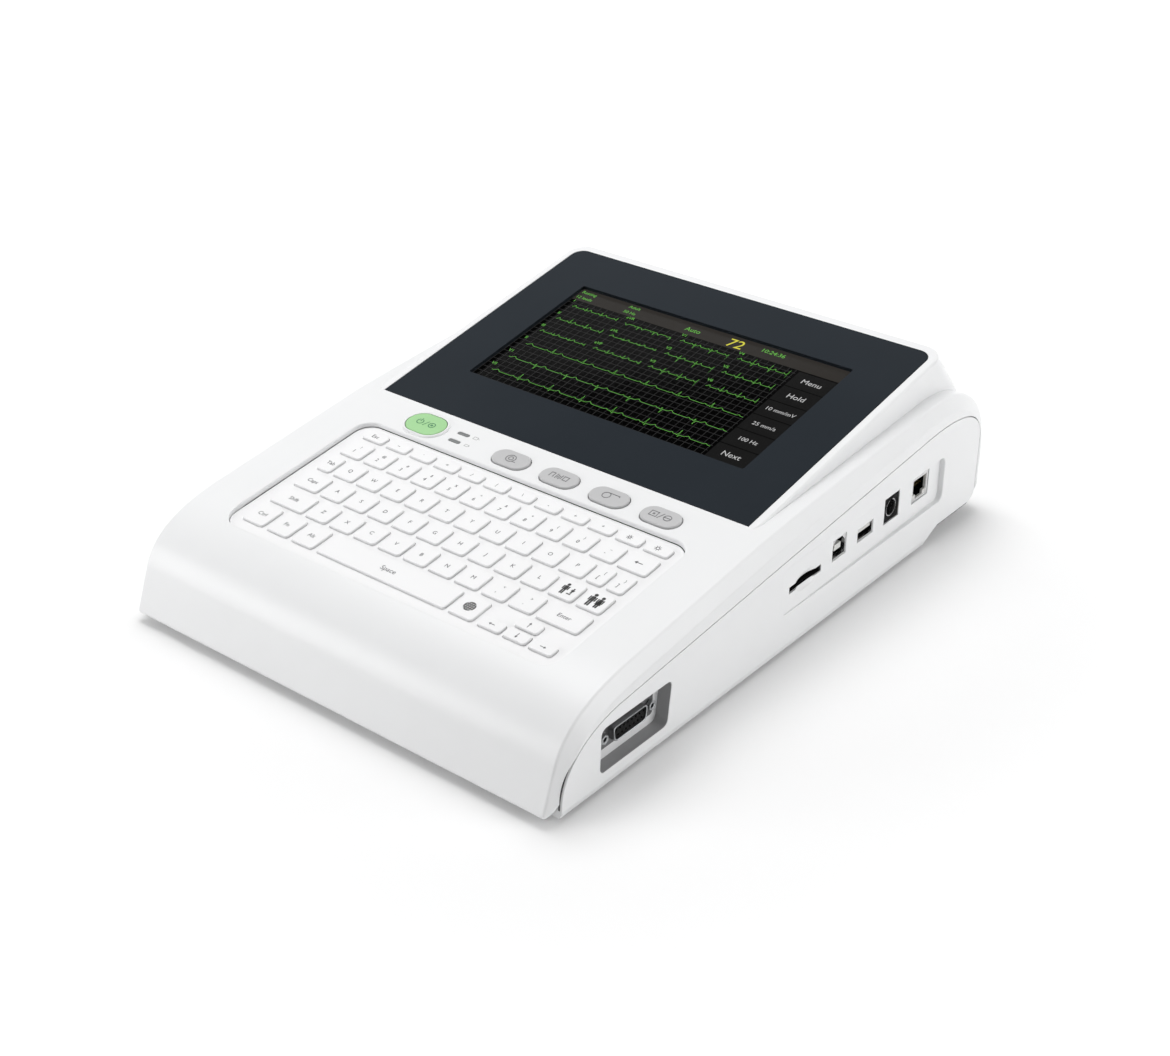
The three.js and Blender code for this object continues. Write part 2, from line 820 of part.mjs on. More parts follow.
// Lower tub: side panels, floor and a low rim all round
const tubLow = blended(tubCorners(floorZ, rearZ), seamGap / 2);
const tubHigh = blended(tubCorners(floorZ + creaseRise, rearZ + sideCrease), seamGap / 2);
const tubOuter = across(mirrored([
  { points: tubHigh, x: -half },
  { points: tubLow, x: sideCrease - half },
]));
const tubInset = blended(tubCorners(floorZ, rearZ), wall + seamGap / 2);
const tubInside = half - wall;
const tubHollow = across([
  { points: tubInset, x: -tubInside },
  { points: tubInset, x: tubInside },
]);
const tubOpening = block(-tubInside, tubInside, frontY, rearY, floorZ + tubRim, foldZ * 2);
const floorTop = floorZ + wall;

// Pockets on the right side
const portSpan = (grow) => rectPoints(
  portWallY - portFrontY + 2 * grow,
  portHighZ - portLowZ + 2 * grow,
  portRound + grow,
  (portWallY + portFrontY) / 2,
  (portHighZ + portLowZ) / 2,
  4,
);
const portPadBody = moved(
  prism(portSpan(portPad), half - wall - portPad, half - wall / 2),
  alongX,
);
const portFloor = (y) => {
  const share = (y - portFrontY) / (portWallY - portFrontY);
  return half - portDropFront - (portDrop - portDropFront) * share;
};
const wedge = [
  [portFloor(portFrontY), portFrontY - portPad],
  [portFloor(portWallY), portWallY + portPad],
  [half + 2 * over, portWallY + portPad],
  [half + 2 * over, portFrontY - portPad],
].map(([x, y]) => new THREE.Vector2(x, y));
const portPocket = moved(prism(portSpan(0), half - 2 * portDrop, half + over), alongX)
  .intersect(prism(counter(wedge), portLowZ - over, portHighZ + over));

function leadPocketPoints(grow) {
  const points = rectPoints(
    leadPocketFront - leadPocketRear + 2 * grow,
    leadPocketHigh - leadPocketLow + 2 * grow,
    leadPocketRound + grow,
    -(leadPocketFront + leadPocketRear) / 2,
    (leadPocketHigh + leadPocketLow) / 2,
    3,
  );
  return points.map((p) => {
    const across = (p.x + leadPocketFront) / (leadPocketFront - leadPocketRear);
    const up = (p.y - leadPocketLow) / (leadPocketHigh - leadPocketLow);
    return new THREE.Vector2(p.x + THREE.MathUtils.lerp(...leadPocketLeans, across) * up, p.y);
  });
}
const leadFloorX = half - leadPocketDeep;
const leadCup = moved(
  prism(leadPocketPoints(leadPocketWall), leadFloorX - leadPocketWall, half - wall / 2),
  alongX,
);
const leadPocket = moved(prism(leadPocketPoints(0), leadFloorX, half + over), alongX);

// A socket body in a port, and the hole for it
const facing = (w, h, y, z, grow) => rectPoints(w + 2 * grow, h + 2 * grow, 0, y, z, 1);
const portHole = (w, h, y, z) => moved(
  prism(facing(w, h, y, z, fit), half - wall - 2 * portPad, half),
  alongX,
);
const boardEndX = half - wall - portPad - fit;
function socket(w, h, y, z, long) {
  const face = portFloor(y + w / 2) - fit;
  return join(
    moved(prism(facing(w, h, y, z, 0), face - long, face), alongX),
    block(face - long, boardEndX, y - w / 2, y + w / 2, mainBoardZ + fit, z),
  );
}
const mouth = (points, y, w, deep) => moved(
  prism(points, portFloor(y + w / 2) - fit - deep, half),
  alongX,
);

const lanMouthWidth = lanWidth - 4.4;
const lanMouthHeight = lanHeight - 7;
const lanKey = rectPoints(lanMouthWidth / 2, lanHeight / 4, 0, lanY, lanZ - lanMouthHeight / 2, 1);
const lanSocket = cut(
  socket(lanWidth, lanHeight, lanY, lanZ, lanDepth),
  mouth(facing(lanMouthWidth, lanMouthHeight, lanY, lanZ, 0), lanY, lanWidth, lanDepth * 0.6),
  mouth(lanKey, lanY, lanWidth, lanDepth * 0.6),
);
const auxSocket = cut(
  socket(auxSize, auxSize, auxY, auxZ, auxDepth),
  mouth(pill(auxBore, auxBore, 0, auxY, auxZ), auxY, auxSize, auxDepth * 0.7),
);
const usbASocket = cut(
  socket(usbAWidth, usbAHeight, usbAY, usbAZ, usbADepth),
  mouth(facing(usbAWidth, usbAHeight, usbAY, usbAZ, -shellThick), usbAY, usbAWidth, usbADepth * 0.7),
);
const usbBMouth = usbBWidth - 2 * shellThick;
const usbBTop = usbBHeight - 2 * shellThick;
const usbBPoints = [
  [-usbBMouth / 2, -usbBTop / 2],
  [usbBMouth / 2, -usbBTop / 2],
  [usbBMouth / 2, usbBTop / 5],
  [usbBMouth / 4, usbBTop / 2],
  [-usbBMouth / 4, usbBTop / 2],
  [-usbBMouth / 2, usbBTop / 5],
].map(([y, z]) => new THREE.Vector2(usbBY + y, usbBZ + z));
const usbBSocket = cut(
  socket(usbBWidth, usbBHeight, usbBY, usbBZ, usbBDepth),
  mouth(counter(usbBPoints), usbBY, usbBWidth, usbBDepth * 0.7),
);
const cardSocket = cut(
  socket(cardWidth, cardHeight, cardY, cardZ, cardDepth),
  mouth(rectPoints(cardSlotWidth, cardSlotHeight, 0, cardY, cardZ, 1), cardY, cardWidth, cardDepth * 0.8),
);

// Patient lead connector: flange with a D-shaped shell, insert with 15 sockets, two posts
function dPoints(grow) {
  const lean = Math.tan(rad(shellSlant)) * shellHeight / 2;
  const w = shellWidth / 2 + grow;
  const h = shellHeight / 2 + grow;
  const corners = [[-w + lean, -h], [w - lean, -h], [w + lean / 4, h], [-w - lean / 4, h]];
  const points = [];
  corners.forEach(([y, z], i) => {
    const [py, pz] = corners[(i + 3) % 4];
    const [ny, nz] = corners[(i + 1) % 4];
    const at = new THREE.Vector2(y, z);
    const before = new THREE.Vector2(py - y, pz - z).setLength(shellRound).add(at);
    const after = new THREE.Vector2(ny - y, nz - z).setLength(shellRound).add(at);
    points.push(...new THREE.QuadraticBezierCurve(before, at, after).getPoints(3));
  });
  return points.map((p) => p.add(new THREE.Vector2(leadY, leadZ)));
}
const leadFace = leadFloorX + fit;
const flangePoints = rectPoints(flangeWidth, flangeHeight, shellRound, leadY, leadZ, 2);
const shellTube = (points, low, high) => moved(prism(points, low, high), alongX);
const screwAt = [-1, 1].map((side) => leadY + side * screwSpacing / 2);
const faceX = (y, z) => new THREE.Matrix4().makeTranslation(0, y, z).multiply(alongX);
const leadShell = cut(
  join(
    shellTube(flangePoints, leadFace, leadFace + flangeThick),
    shellTube(dPoints(0), leadFace - shellBack, leadFace + shellOut),
  ),
  shellTube(dPoints(-shellThick), leadFace - shellBack - over, leadFace + shellOut + over),
  ...screwAt.map((y) => moved(rod(screwBore, 0, half, 10), faceX(y, leadZ))),
);
const pinAt = [];
for (let i = 0; i < 8; i += 1) pinAt.push([leadY + (i - 3.5) * pinPitch, leadZ + pinRow]);
for (let i = 0; i < 7; i += 1) pinAt.push([leadY + (i - 3) * pinPitch, leadZ - pinRow]);
const insertFace = leadFace + shellOut - shellThick;
const leadInsert = cut(
  shellTube(dPoints(-shellThick - fit), leadFace - shellBack, insertFace),
  ...pinAt.map(([y, z]) => moved(rod(pinHole, insertFace - pinHoleDeep, half, 5), faceX(y, z))),
);
const screwBase = leadFace + flangeThick + fit;
const jackscrew = (y) => cut(
  moved(rod(screwHex, screwBase, screwBase + screwLong, 6), faceX(y, leadZ)),
  moved(rod(screwBore, screwBase + screwLong / 3, half, 10), faceX(y, leadZ)),
);
const leadHole = shellTube(dPoints(fit), leadFloorX - 2 * leadPocketWall, half);

// Recorder door, its opening, hinge bores and the release button
const doorX = -half + doorBarrel;
const doorBack = doorFront + doorLength;
const doorMid = (doorFront + doorBack) / 2;
const doorGap = fit + seamGap / 3;
const doorLow = doorHingeZ - doorBarrel;
const doorOpening = block(
  -half - over,
  -half + wall + over,
  doorFront - doorGap,
  doorBack + doorGap,
  doorLow - doorGap,
  doorTop + paperSlot,
);
const hingeEar = (y) => block(
  -half + wall / 2,
  doorX + doorBarrel,
  y,
  y + doorPinLong + wall,
  doorHingeZ - doorBarrel,
  doorHingeZ + doorBarrel,
);
const hingeLine = new THREE.Matrix4().makeTranslation(doorX, 0, doorHingeZ).multiply(alongY);
const hingeEars = [
  hingeEar(doorFront - doorGap - doorPinLong - wall),
  hingeEar(doorBack + doorGap),
];
const earFace = doorFront - doorGap - doorPinLong - fit;
const hingeBore = moved(
  rod(doorPin + shaftFit, earFace, doorBack + doorGap + doorPinLong + fit, 12),
  hingeLine,
);
const doorPanel = moved(
  prism(
    rectPoints(doorLength, doorTop - doorHingeZ, doorRound, doorMid, (doorTop + doorHingeZ) / 2, 3),
    -half,
    -half + doorThick,
  ),
  alongX,
);
const recorderDoor = join(
  doorPanel,
  block(-half, -half + doorThick, doorFront, doorBack, doorHingeZ, doorHingeZ + 2 * doorRound),
  moved(rod(doorBarrel, doorFront, doorBack, 16), hingeLine),
  moved(rod(doorPin, doorFront - doorPinLong, doorBack + doorPinLong, 12), hingeLine),
);
const latchPoints = (grow) => rectPoints(
  latchWidth + 2 * grow,
  latchHigh + 2 * grow,
  latchHigh / 2 + grow,
  latchY,
  latchZ + latchHigh / 2,
  4,
);
const latchHole = moved(prism(latchPoints(slideFit), -half - over, -half + wall + over), alongX);
const latchInner = -half + wall + fit;
const latch = join(
  moved(prism(latchPoints(0), -half, latchInner + buttonFlange / 2), alongX),
  moved(prism(latchPoints(buttonFlangeRim), latchInner, latchInner + buttonFlange), alongX),
);

// Recorder works: cradle with end plates, roll, platen, print head, motor and pinion
const paperAxisX = -half + paperX;
const platenAxisX = -half + platenX;
const paperFront = paperY - paperLength / 2;
const paperBack = paperY + paperLength / 2;
const plateFront = paperFront - fit - endPlate;
const plateBack = paperBack + fit;
const cradleIn = paperRadius + fit;
const cradleOut = cradleIn + cradleWall;
const cradlePoints = counter([
  ...arcPoints(-paperAxisX, paperZ, cradleOut, -Math.PI, -Math.PI / 5, 14),
  ...arcPoints(-paperAxisX, paperZ, cradleIn, -Math.PI / 5, -Math.PI, 14),
]);
const yPlane = alongY;
const headX = platenAxisX + platenRadius + fit;
const frameBack = headX + headThick + fit + cradleWall;
const cradleFoot = paperZ - cradleOut;
const plateShape = [
  [platenAxisX - platenRadius, platenZ + platenRadius],
  [platenAxisX - platenRadius, platenZ - platenRadius],
  [paperAxisX - cradleOut / 2, paperZ],
  [paperAxisX - cradleOut / 2, cradleFoot],
  [paperAxisX + cradleOut, cradleFoot],
  [paperAxisX + cradleOut, paperZ],
  [frameBack, platenZ - platenRadius],
  [frameBack, platenZ + platenRadius],
].map(([x, z]) => new THREE.Vector2(-x, z));
const plate = (y) => moved(prism(counter(plateShape.map((p) => p.clone())), y, y + endPlate), yPlane);
const platenLine = new THREE.Matrix4().makeTranslation(platenAxisX, 0, platenZ).multiply(alongY);
const gearDistance = (gearTeeth + pinionTeeth) * gearModule / 2;
const gearAngle = rad(28);
const motorAxisX = platenAxisX + gearDistance * Math.cos(gearAngle);
const motorAxisZ = platenZ - gearDistance * Math.sin(gearAngle);
const motorLine = new THREE.Matrix4().makeTranslation(motorAxisX, 0, motorAxisZ).multiply(alongY);
const recorderFrame = cut(
  join(
    plate(plateFront),
    plate(plateBack),
    moved(prism(cradlePoints, plateFront + endPlate / 2, plateBack + endPlate / 2), yPlane),
    block(
      frameBack - cradleWall,
      frameBack,
      plateFront + endPlate / 2,
      plateBack + endPlate / 2,
      platenZ - platenRadius / 2,
      platenZ + platenRadius,
    ),
    block(
      paperAxisX - cradleOut / 2,
      paperAxisX + cradleOut,
      plateFront + endPlate / 2,
      plateBack + endPlate / 2,
      cradleFoot - cradleWall / 2,
      cradleFoot + cradleWall / 2,
    ),
  ),
  moved(rod(shaftRadius + shaftFit, plateFront - over, plateBack + endPlate + over, 16), platenLine),
);
const paperRoll = cut(
  moved(rod(paperRadius, paperFront, paperBack, 32), new THREE.Matrix4()
    .makeTranslation(paperAxisX, 0, paperZ).multiply(alongY)),
  moved(rod(paperCore, paperFront - over, paperBack + over, 20), new THREE.Matrix4()
    .makeTranslation(paperAxisX, 0, paperZ).multiply(alongY)),
);

// Spur gear outline with straight-flanked teeth
function gearPoints(teeth, phase) {
  const pitch = teeth * gearModule / 2;
  const root = pitch - gearModule * 1.2;
  const tip = pitch + gearModule * 0.9;
  const step = Math.PI * 2 / teeth;
  const flankShares = [-0.3, -0.1, 0.1, 0.3];
  const points = [];
  for (let i = 0; i < teeth; i += 1) {
    flankShares.forEach((share, j) => {
      const r = j === 1 || j === 2 ? tip : root;
      const angle = phase + (i + share) * step;
      points.push(new THREE.Vector2(Math.cos(angle) * r, Math.sin(angle) * r));
    });
  }
  return points;
}
const gearY = plateBack + endPlate + fit;
// seen along +Y the x axis points left, so the mesh direction is mirrored
const meshAngle = Math.atan2(motorAxisZ - platenZ, platenAxisX - motorAxisX);
const platenRoller = join(
  moved(rod(platenRadius, paperFront, paperBack, 24), platenLine),
  moved(rod(shaftRadius, plateFront - endPlate, gearY + gearFace, 16), platenLine),
  moved(prism(gearPoints(gearTeeth, meshAngle), gearY, gearY + gearFace), platenLine),
);
const pinion = join(
  moved(
    prism(
      gearPoints(pinionTeeth, meshAngle + Math.PI + Math.PI / pinionTeeth),
      gearY,
      gearY + gearFace,
    ),
    motorLine,
  ),
  moved(rod(shaftRadius, gearY, gearY + gearFace + 2 * endPlate, 12), motorLine),
);
const motorFront = gearY + gearFace + fit;
const recorderMotor = join(
  cut(
    moved(rod(motorRadius, motorFront, motorFront + motorLong, 20), motorLine),
    moved(rod(shaftRadius + shaftFit, motorFront - over, motorFront + motorLong / 2, 12), motorLine),
  ),
  block(
    motorAxisX,
    motorAxisX + motorRadius,
    plateBack + endPlate + fit,
    motorFront + endPlate,
    motorAxisZ - motorRadius,
    motorAxisZ - gearModule * pinionTeeth,
  ),
);
const printHead = join(
  block(headX, headX + headThick / 3, paperFront, paperBack, platenZ - headHigh / 2, platenZ + headHigh / 2),
  block(
    headX,
    headX + headThick,
    paperFront + headThick,
    paperBack - headThick,
    platenZ - headHigh / 2 + headThick / 2,
    platenZ + headHigh / 2 - headThick / 2,
  ),
);

// Posts on the tub floor for what stands inside
const post = (x, y, top) => shifted(rod(postRadius, floorTop - wall / 2, top - fit, 10), x, y, 0);
const mainBoardBase = mainBoardZ - boardThick;
const mainBoardEnd = boardEndX;
const mainPosts = [mainBoardX + 2 * postRadius, mainBoardEnd - 4 * postRadius].flatMap((x) => [
  mainBoardFront + 2 * postRadius,
  (mainBoardFront + mainBoardRear) / 2,
  mainBoardRear - 2 * postRadius,
].map((y) => post(x, y, mainBoardBase)));
const moduleEnd = leadFloorX - leadPocketWall - fit;
const moduleX = moduleEnd - shellBack - moduleWidth / 2;
const modulePosts = [-1, 1].flatMap((sx) => [-1, 1].map((sy) => post(
  moduleX + sx * (moduleWidth / 2 - 2 * postRadius),
  leadY + sy * (moduleDepth / 2 - 2 * postRadius),
  floorTop + moduleLift,
)));
const supplyPosts = [-1, 1].flatMap((sx) => [-1, 1].map((sy) => post(
  supplyX + sx * (supplyWidth / 2 - 2 * postRadius),
  supplyY + sy * (supplyDepth / 2 - 6 * postRadius),
  supplyZ,
)));
const recorderPosts = [plateFront + 4 * postRadius, plateBack - 4 * postRadius].map((y) => post(
  paperAxisX + cradleOut / 4,
  y,
  cradleFoot - cradleWall / 2,
));
const motorRest = block(
  motorAxisX - motorRadius / 2,
  motorAxisX + motorRadius / 2,
  motorFront + endPlate,
  motorFront + motorLong - endPlate,
  floorTop - wall / 2,
  motorAxisZ - motorRadius - fit,
);

// Feet under the tub, and the battery bay in its floor
const footX = half - footInX - footWidth / 2;
const feetAt = [frontY + footFront, rearY - footRear].flatMap((y) => [[-footX, y], [footX, y]]);
const footPoints = (grow) => rectPoints(footWidth + 2 * grow, footDepth + 2 * grow, footRound + grow, 0, 0, 3);
const footBody = (x, y) => shifted(
  stack([
    { points: footPoints(-footSeat / 2), z: 0 },
    { points: footPoints(0), z: footSeat / 2 },
    { points: footPoints(0), z: floorZ + footSeat },
  ]),
  x,
  y,
  0,
);
const footSeatCut = (x, y) => shifted(prism(footPoints(fit), floorZ - over, floorZ + footSeat + fit), x, y, 0);
const batteryLeft = speakerX + speakerRadius + batteryGap;
const batteryWidth = moduleX - moduleWidth / 2 - batterySetback - batteryLeft;
const batteryX = batteryLeft + batteryWidth / 2;
const bayPoints = (grow) => rectPoints(
  batteryWidth + 2 * grow,
  batteryDepth + 2 * grow,
  batteryDoorRound,
  batteryX,
  batteryY,
  3,
);
const bayWall = cut(
  prism(bayPoints(fit + wall), floorTop - wall / 2, floorTop + batteryHeight / 2),
  prism(bayPoints(fit), floorZ, floorTop + batteryHeight),
);
const bayOpening = join(
  prism(bayPoints(fit), floorZ + wall / 2, floorTop + batteryHeight),
  prism(bayPoints(batteryDoorRim + fit), floorZ - over, floorZ + wall / 2),
);
const bayFrame = prism(bayPoints(batteryDoorRim + fit + wall), floorZ + wall / 4, floorTop + wall / 2);
const batteryDoor = prism(bayPoints(batteryDoorRim), floorZ, floorZ + wall / 2 - fit);
const battery = prism(bayPoints(0), floorZ + wall / 2, floorZ + wall / 2 + batteryHeight);

// Speaker behind grille slots in the floor
const speaker = shifted(
  join(
    rod(speakerRadius, 0, speakerHigh / 3, 24),
    rod(speakerRadius / 2, speakerHigh / 3 - fit, speakerHigh, 20),
  ),
  speakerX,
  speakerY,
  floorTop + fit,
);
const grille = [];
for (let i = 0; i < grilleSlots; i += 1) {
  const at = (i - (grilleSlots - 1) / 2) * grilleSlotWidth * 2.4;
  grille.push(block(
    speakerX - speakerRadius * 0.7,
    speakerX + speakerRadius * 0.7,
    speakerY + at - grilleSlotWidth / 2,
    speakerY + at + grilleSlotWidth / 2,
    floorZ - over,
    floorTop + over,
  ));
}

const tubBody = cut(tubOuter, tubHollow, tubOpening);
const tubAdds = [
  portPadBody,
  leadCup,
  ...hingeEars,
  ...mainPosts,
  ...modulePosts,
  ...supplyPosts,
  ...recorderPosts,
  motorRest,
  bayFrame,
  bayWall,
];
const bottomHousing = cut(
  join(tubBody, join(...tubAdds).intersect(tubOuter)),
  portPocket,
  portHole(lanWidth, lanHeight, lanY, lanZ),
  portHole(auxSize, auxSize, auxY, auxZ),
  portHole(usbAWidth, usbAHeight, usbAY, usbAZ),
  portHole(usbBWidth, usbBHeight, usbBY, usbBZ),
  portHole(cardWidth, cardHeight, cardY, cardZ),
  leadPocket,
  leadHole,
  doorOpening,
  hingeBore,
  latchHole,
  bayOpening,
  ...feetAt.map(([x, y]) => footSeatCut(x, y)),
  ...grille,
);

// Boards and modules
const mainBoard = cut(
  join(
    block(mainBoardX, mainBoardEnd, mainBoardFront, mainBoardRear, mainBoardBase, mainBoardZ),
    block(
      mainBoardX + 4 * postRadius,
      mainBoardX + 14 * postRadius,
      (mainBoardFront + mainBoardRear) / 2 - 5 * postRadius,
      (mainBoardFront + mainBoardRear) / 2 + 5 * postRadius,
      mainBoardBase + boardThick / 2,
      mainBoardZ + 2 * boardThick,
    ),
  ),
);
const ecgModule = join(
  block(
    moduleX - moduleWidth / 2,
    moduleX + moduleWidth / 2,
    leadY - moduleDepth / 2,
    leadY + moduleDepth / 2,
    floorTop + moduleLift,
    floorTop + moduleLift + boardThick,
  ),
  block(
    moduleX - moduleWidth / 2 + wall,
    moduleX + moduleWidth / 2 - wall,
    leadY - moduleDepth / 2 + wall,
    leadY + moduleDepth / 2 - wall,
    floorTop + moduleLift + boardThick / 2,
    floorTop + moduleLift + moduleHeight,
  ),
);
const supplyBoard = join(
  block(
    supplyX - supplyWidth / 2,
    supplyX + supplyWidth / 2,
    supplyY - supplyDepth / 2,
    supplyY + supplyDepth / 2 - 4 * postRadius,
    supplyZ,
    supplyZ + boardThick,
  ),
  block(
    supplyX - supplyWidth / 4,
    supplyX + supplyWidth / 6,
    supplyY - supplyDepth / 4,
    supplyY + supplyDepth / 8,
    supplyZ + boardThick / 2,
    supplyZ + supplyPartHeight,
  ),
  shifted(rod(supplyPartHeight / 3, supplyZ + boardThick / 2, supplyZ + supplyPartHeight, 16),
    supplyX + supplyWidth / 3, supplyY - supplyDepth / 3, 0),
);

// Mains inlet and grounding post in the rear wall
const inletPoints = (w, h) => {
  const c = inletChamfer;
  return counter([
    [-w / 2, -h / 2],
    [w / 2, -h / 2],
    [w / 2, h / 2 - c],
    [w / 2 - c, h / 2],
    [-w / 2 + c, h / 2],
    [-w / 2, h / 2 - c],
  ].map(([x, z]) => new THREE.Vector2(-(inletX + x), inletZ + z)));
};
const mainsInlet = cut(
  join(
    moved(prism(rectPoints(inletWidth + 2 * inletRim, inletHeight + 2 * inletRim, inletRim, -inletX, inletZ, 3),
      rearY + fit, rearY + fit + inletPlate), yPlane),
    moved(prism(rectPoints(inletWidth, inletHeight, 0, -inletX, inletZ, 1),
      rearY - inletDeep, rearY + fit + inletPlate / 2), yPlane),
  ),
  moved(prism(inletPoints(inletMouthWidth, inletMouthHeight),
    rearY + fit + inletPlate - inletMouthDeep, rearY + over + inletPlate + fit), yPlane),
);
const groundLine = new THREE.Matrix4().makeTranslation(postX, 0, inletZ).multiply(alongY);
const groundPost = join(
  moved(rod(groundRadius, rearY - wall - 2 * fit - groundRadius, rearY + groundLong, 16), groundLine),
  moved(rod(groundNut, rearY + fit, rearY + fit + groundRadius, 6), groundLine),
  moved(rod(groundNut, rearY - wall - fit - groundRadius, rearY - wall - fit, 6), groundLine),
);

// Lens and display
const screenLens = moved(prism(lensPoints(0), -lensThick, 0), lensFrame);
const lcd = moved(
  box(lcdWidth, lcdDepth, -lensThick - lcdThick - fit, -lensThick - fit, lcdX, lcdS),
  lensFrame,
);

// Materials
const finish = (color, roughness, metalness) => new THREE.MeshStandardMaterial({ color, roughness, metalness });
const whiteShell = finish(0xdfe0e1, 0.38, 0);
const whiteKeys = finish(0xe9e9e9, 0.5, 0);
const glass = finish(0x23282e, 0.12, 0);
const panel = finish(0x101214, 0.4, 0);
const green = finish(0x7fc98b, 0.45, 0);
const grey = finish(0xa9abab, 0.5, 0);
const lampGrey = finish(0x6f7473, 0.4, 0);
const nickel = finish(0xb9bbbd, 0.3, 1);
const black = finish(0x141414, 0.5, 0);
const board = finish(0x1f6b3a, 0.55, 0);
const can = finish(0xa8abad, 0.35, 0.9);
const cell = finish(0x2d4c7c, 0.5, 0);
const rubber = finish(0x2a2b2c, 0.85, 0);
const paper = finish(0xf2ece8, 0.8, 0);
const steel = finish(0x8f9294, 0.35, 1);
const frame = finish(0xc9cac6, 0.55, 0);
const greyPlastic = finish(0x5c6062, 0.6, 0);

const machine = new THREE.Group();
machine.name = 'ecg_machine';

// Adds one solid as a named mesh in the group
function add(name, body, material) {
  const made = body.getMesh();
  const geometry = new THREE.BufferGeometry();
  geometry.setAttribute('position', new THREE.BufferAttribute(new Float32Array(made.vertProperties), 3));
  geometry.setIndex(new THREE.BufferAttribute(new Uint32Array(made.triVerts), 1));
  geometry.computeVertexNormals();
  const mesh = new THREE.Mesh(geometry, material);
  mesh.name = name;
  machine.add(mesh);
  return mesh;
}

add('top_housing', topHousing, whiteShell);
add('bottom_housing', bottomHousing, whiteShell);
add('screen_lens', screenLens, glass);
add('lcd_module', lcd, panel);
add('keypad_membrane', moved(keypad, keyFrame), whiteKeys);
keys.filter((k) => k.name).forEach((k) => add(k.name, moved(looseKey(k), keyFrame), whiteKeys));
add('front_panel_board', moved(frontPanelBoard, keyFrame), board);
add('power_button', moved(buttonBody(powerWidth, powerDepth, powerX, powerS), keyFrame), green);
softButtons.forEach((x, i) => {
  add(`function_button_${i + 1}`, moved(buttonBody(buttonWidth, buttonDepth, x, buttonS), keyFrame), grey);
});
add('indicator_light_pipe', moved(lightPipe, keyFrame), lampGrey);
add('ecg_connector_shell', leadShell, nickel);
add('ecg_connector_insert', leadInsert, black);
add('jackscrew_front', jackscrew(screwAt[0]), nickel);
add('jackscrew_rear', jackscrew(screwAt[1]), nickel);
add('sd_card_slot', cardSocket, black);
add('usb_b_socket', usbBSocket, nickel);
add('usb_a_socket', usbASocket, nickel);
add('external_io_jack', auxSocket, black);
add('lan_socket', lanSocket, nickel);
add('main_board', mainBoard, board);
add('ecg_module', ecgModule, can);
add('power_supply_board', supplyBoard, board);
add('battery_pack', battery, cell);
add('battery_cover', batteryDoor, whiteShell);
add('mains_inlet', mainsInlet, black);
add('grounding_post', groundPost, nickel);
add('speaker', speaker, black);
['left_front', 'right_front', 'left_rear', 'right_rear'].forEach((corner, i) => {
  add(`foot_${corner}`, footBody(...feetAt[i]), rubber);
});
add('recorder_frame', recorderFrame, frame);
add('platen_roller', platenRoller, rubber);
add('print_head', printHead, steel);
add('paper_roll', paperRoll, paper);
add('recorder_door', recorderDoor, whiteShell);
add('recorder_release_button', latch, grey);
add('recorder_motor', recorderMotor, steel);
add('drive_pinion', pinion, greyPlastic);

// The origin sits below the middle of the whole machine
const extent = new THREE.Box3().setFromObject(machine);
machine.position.y = -(extent.min.y + extent.max.y) / 2;
machine.updateMatrixWorld(true);

export default machine;
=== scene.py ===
"""Portable ECG machine: housing, keyboard, screen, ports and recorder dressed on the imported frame."""
import logging
import math
from dataclasses import dataclass, field
from enum import Enum
from typing import Callable, ClassVar, Optional, Sequence

import bpy
from mathutils import Matrix, Vector


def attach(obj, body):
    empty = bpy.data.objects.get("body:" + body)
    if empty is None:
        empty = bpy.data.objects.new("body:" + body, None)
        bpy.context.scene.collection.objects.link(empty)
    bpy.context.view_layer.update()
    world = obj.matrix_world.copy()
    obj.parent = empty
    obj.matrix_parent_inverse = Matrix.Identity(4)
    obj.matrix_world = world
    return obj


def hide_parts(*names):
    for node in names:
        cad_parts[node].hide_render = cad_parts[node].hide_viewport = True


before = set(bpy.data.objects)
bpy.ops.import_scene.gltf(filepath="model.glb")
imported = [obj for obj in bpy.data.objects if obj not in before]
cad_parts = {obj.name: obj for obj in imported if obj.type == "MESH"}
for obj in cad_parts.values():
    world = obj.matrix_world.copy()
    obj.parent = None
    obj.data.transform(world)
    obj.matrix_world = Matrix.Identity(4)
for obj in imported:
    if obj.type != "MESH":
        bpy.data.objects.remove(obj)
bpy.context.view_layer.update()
LOG = logging.getLogger("ecg_machine")

Point = tuple[float, float]
Colour = tuple[float, float, float]
Node = bpy.types.Node
Piece = bpy.types.Object

# Pieces are drawn in millimetres and settled into the frame's metres
SHIFT_Y = -6.4439
SETTLE = Matrix.Translation((0, SHIFT_Y * 0.001, 0)) @ Matrix.Scale(0.001, 4)
HALF = 134.25
FRONT_Y = -183.3
REAR_Y = 183.3
FOLD_Y = -18.3
FOLD_Z = 69.4
DECK_TILT = math.radians(7.85)
SCREEN_TILT = math.radians(10.43)
KEY_Y = -146.3
# Places that two or more pieces share: on plan as (x, y), on a side as (y, z). The feet have a name
# and x for each side, and a name and y for each end.
BATTERY_BAY = (-28.0, -88.0)
LID_SCREWS = ((-78.0, -122.0), (22.0, -122.0))
FEET = (("left", -120.25), ("right", 120.25))
FEET_ENDS = (("front", -164.5), ("rear", 112.0))
PORT_PANEL = (62.0, 36.15)
LATCH = (63.0, 55.4)


def deck_z(y: float) -> float:
    """Height of the keyboard deck at y."""
    return FOLD_Z + (y - FOLD_Y) * math.tan(DECK_TILT)


def panel(y: float, z: float, tilt: float) -> Matrix:
    """Frame on a tilted panel: x across, y up the slope, z out of it."""
    return Matrix.Translation((0, y, z)) @ Matrix.Rotation(tilt, 4, "X")


KEYS = panel(KEY_Y, deck_z(KEY_Y), DECK_TILT)
LENS = panel(FOLD_Y, FOLD_Z, SCREEN_TILT)
FLAT = Matrix.Identity(4)
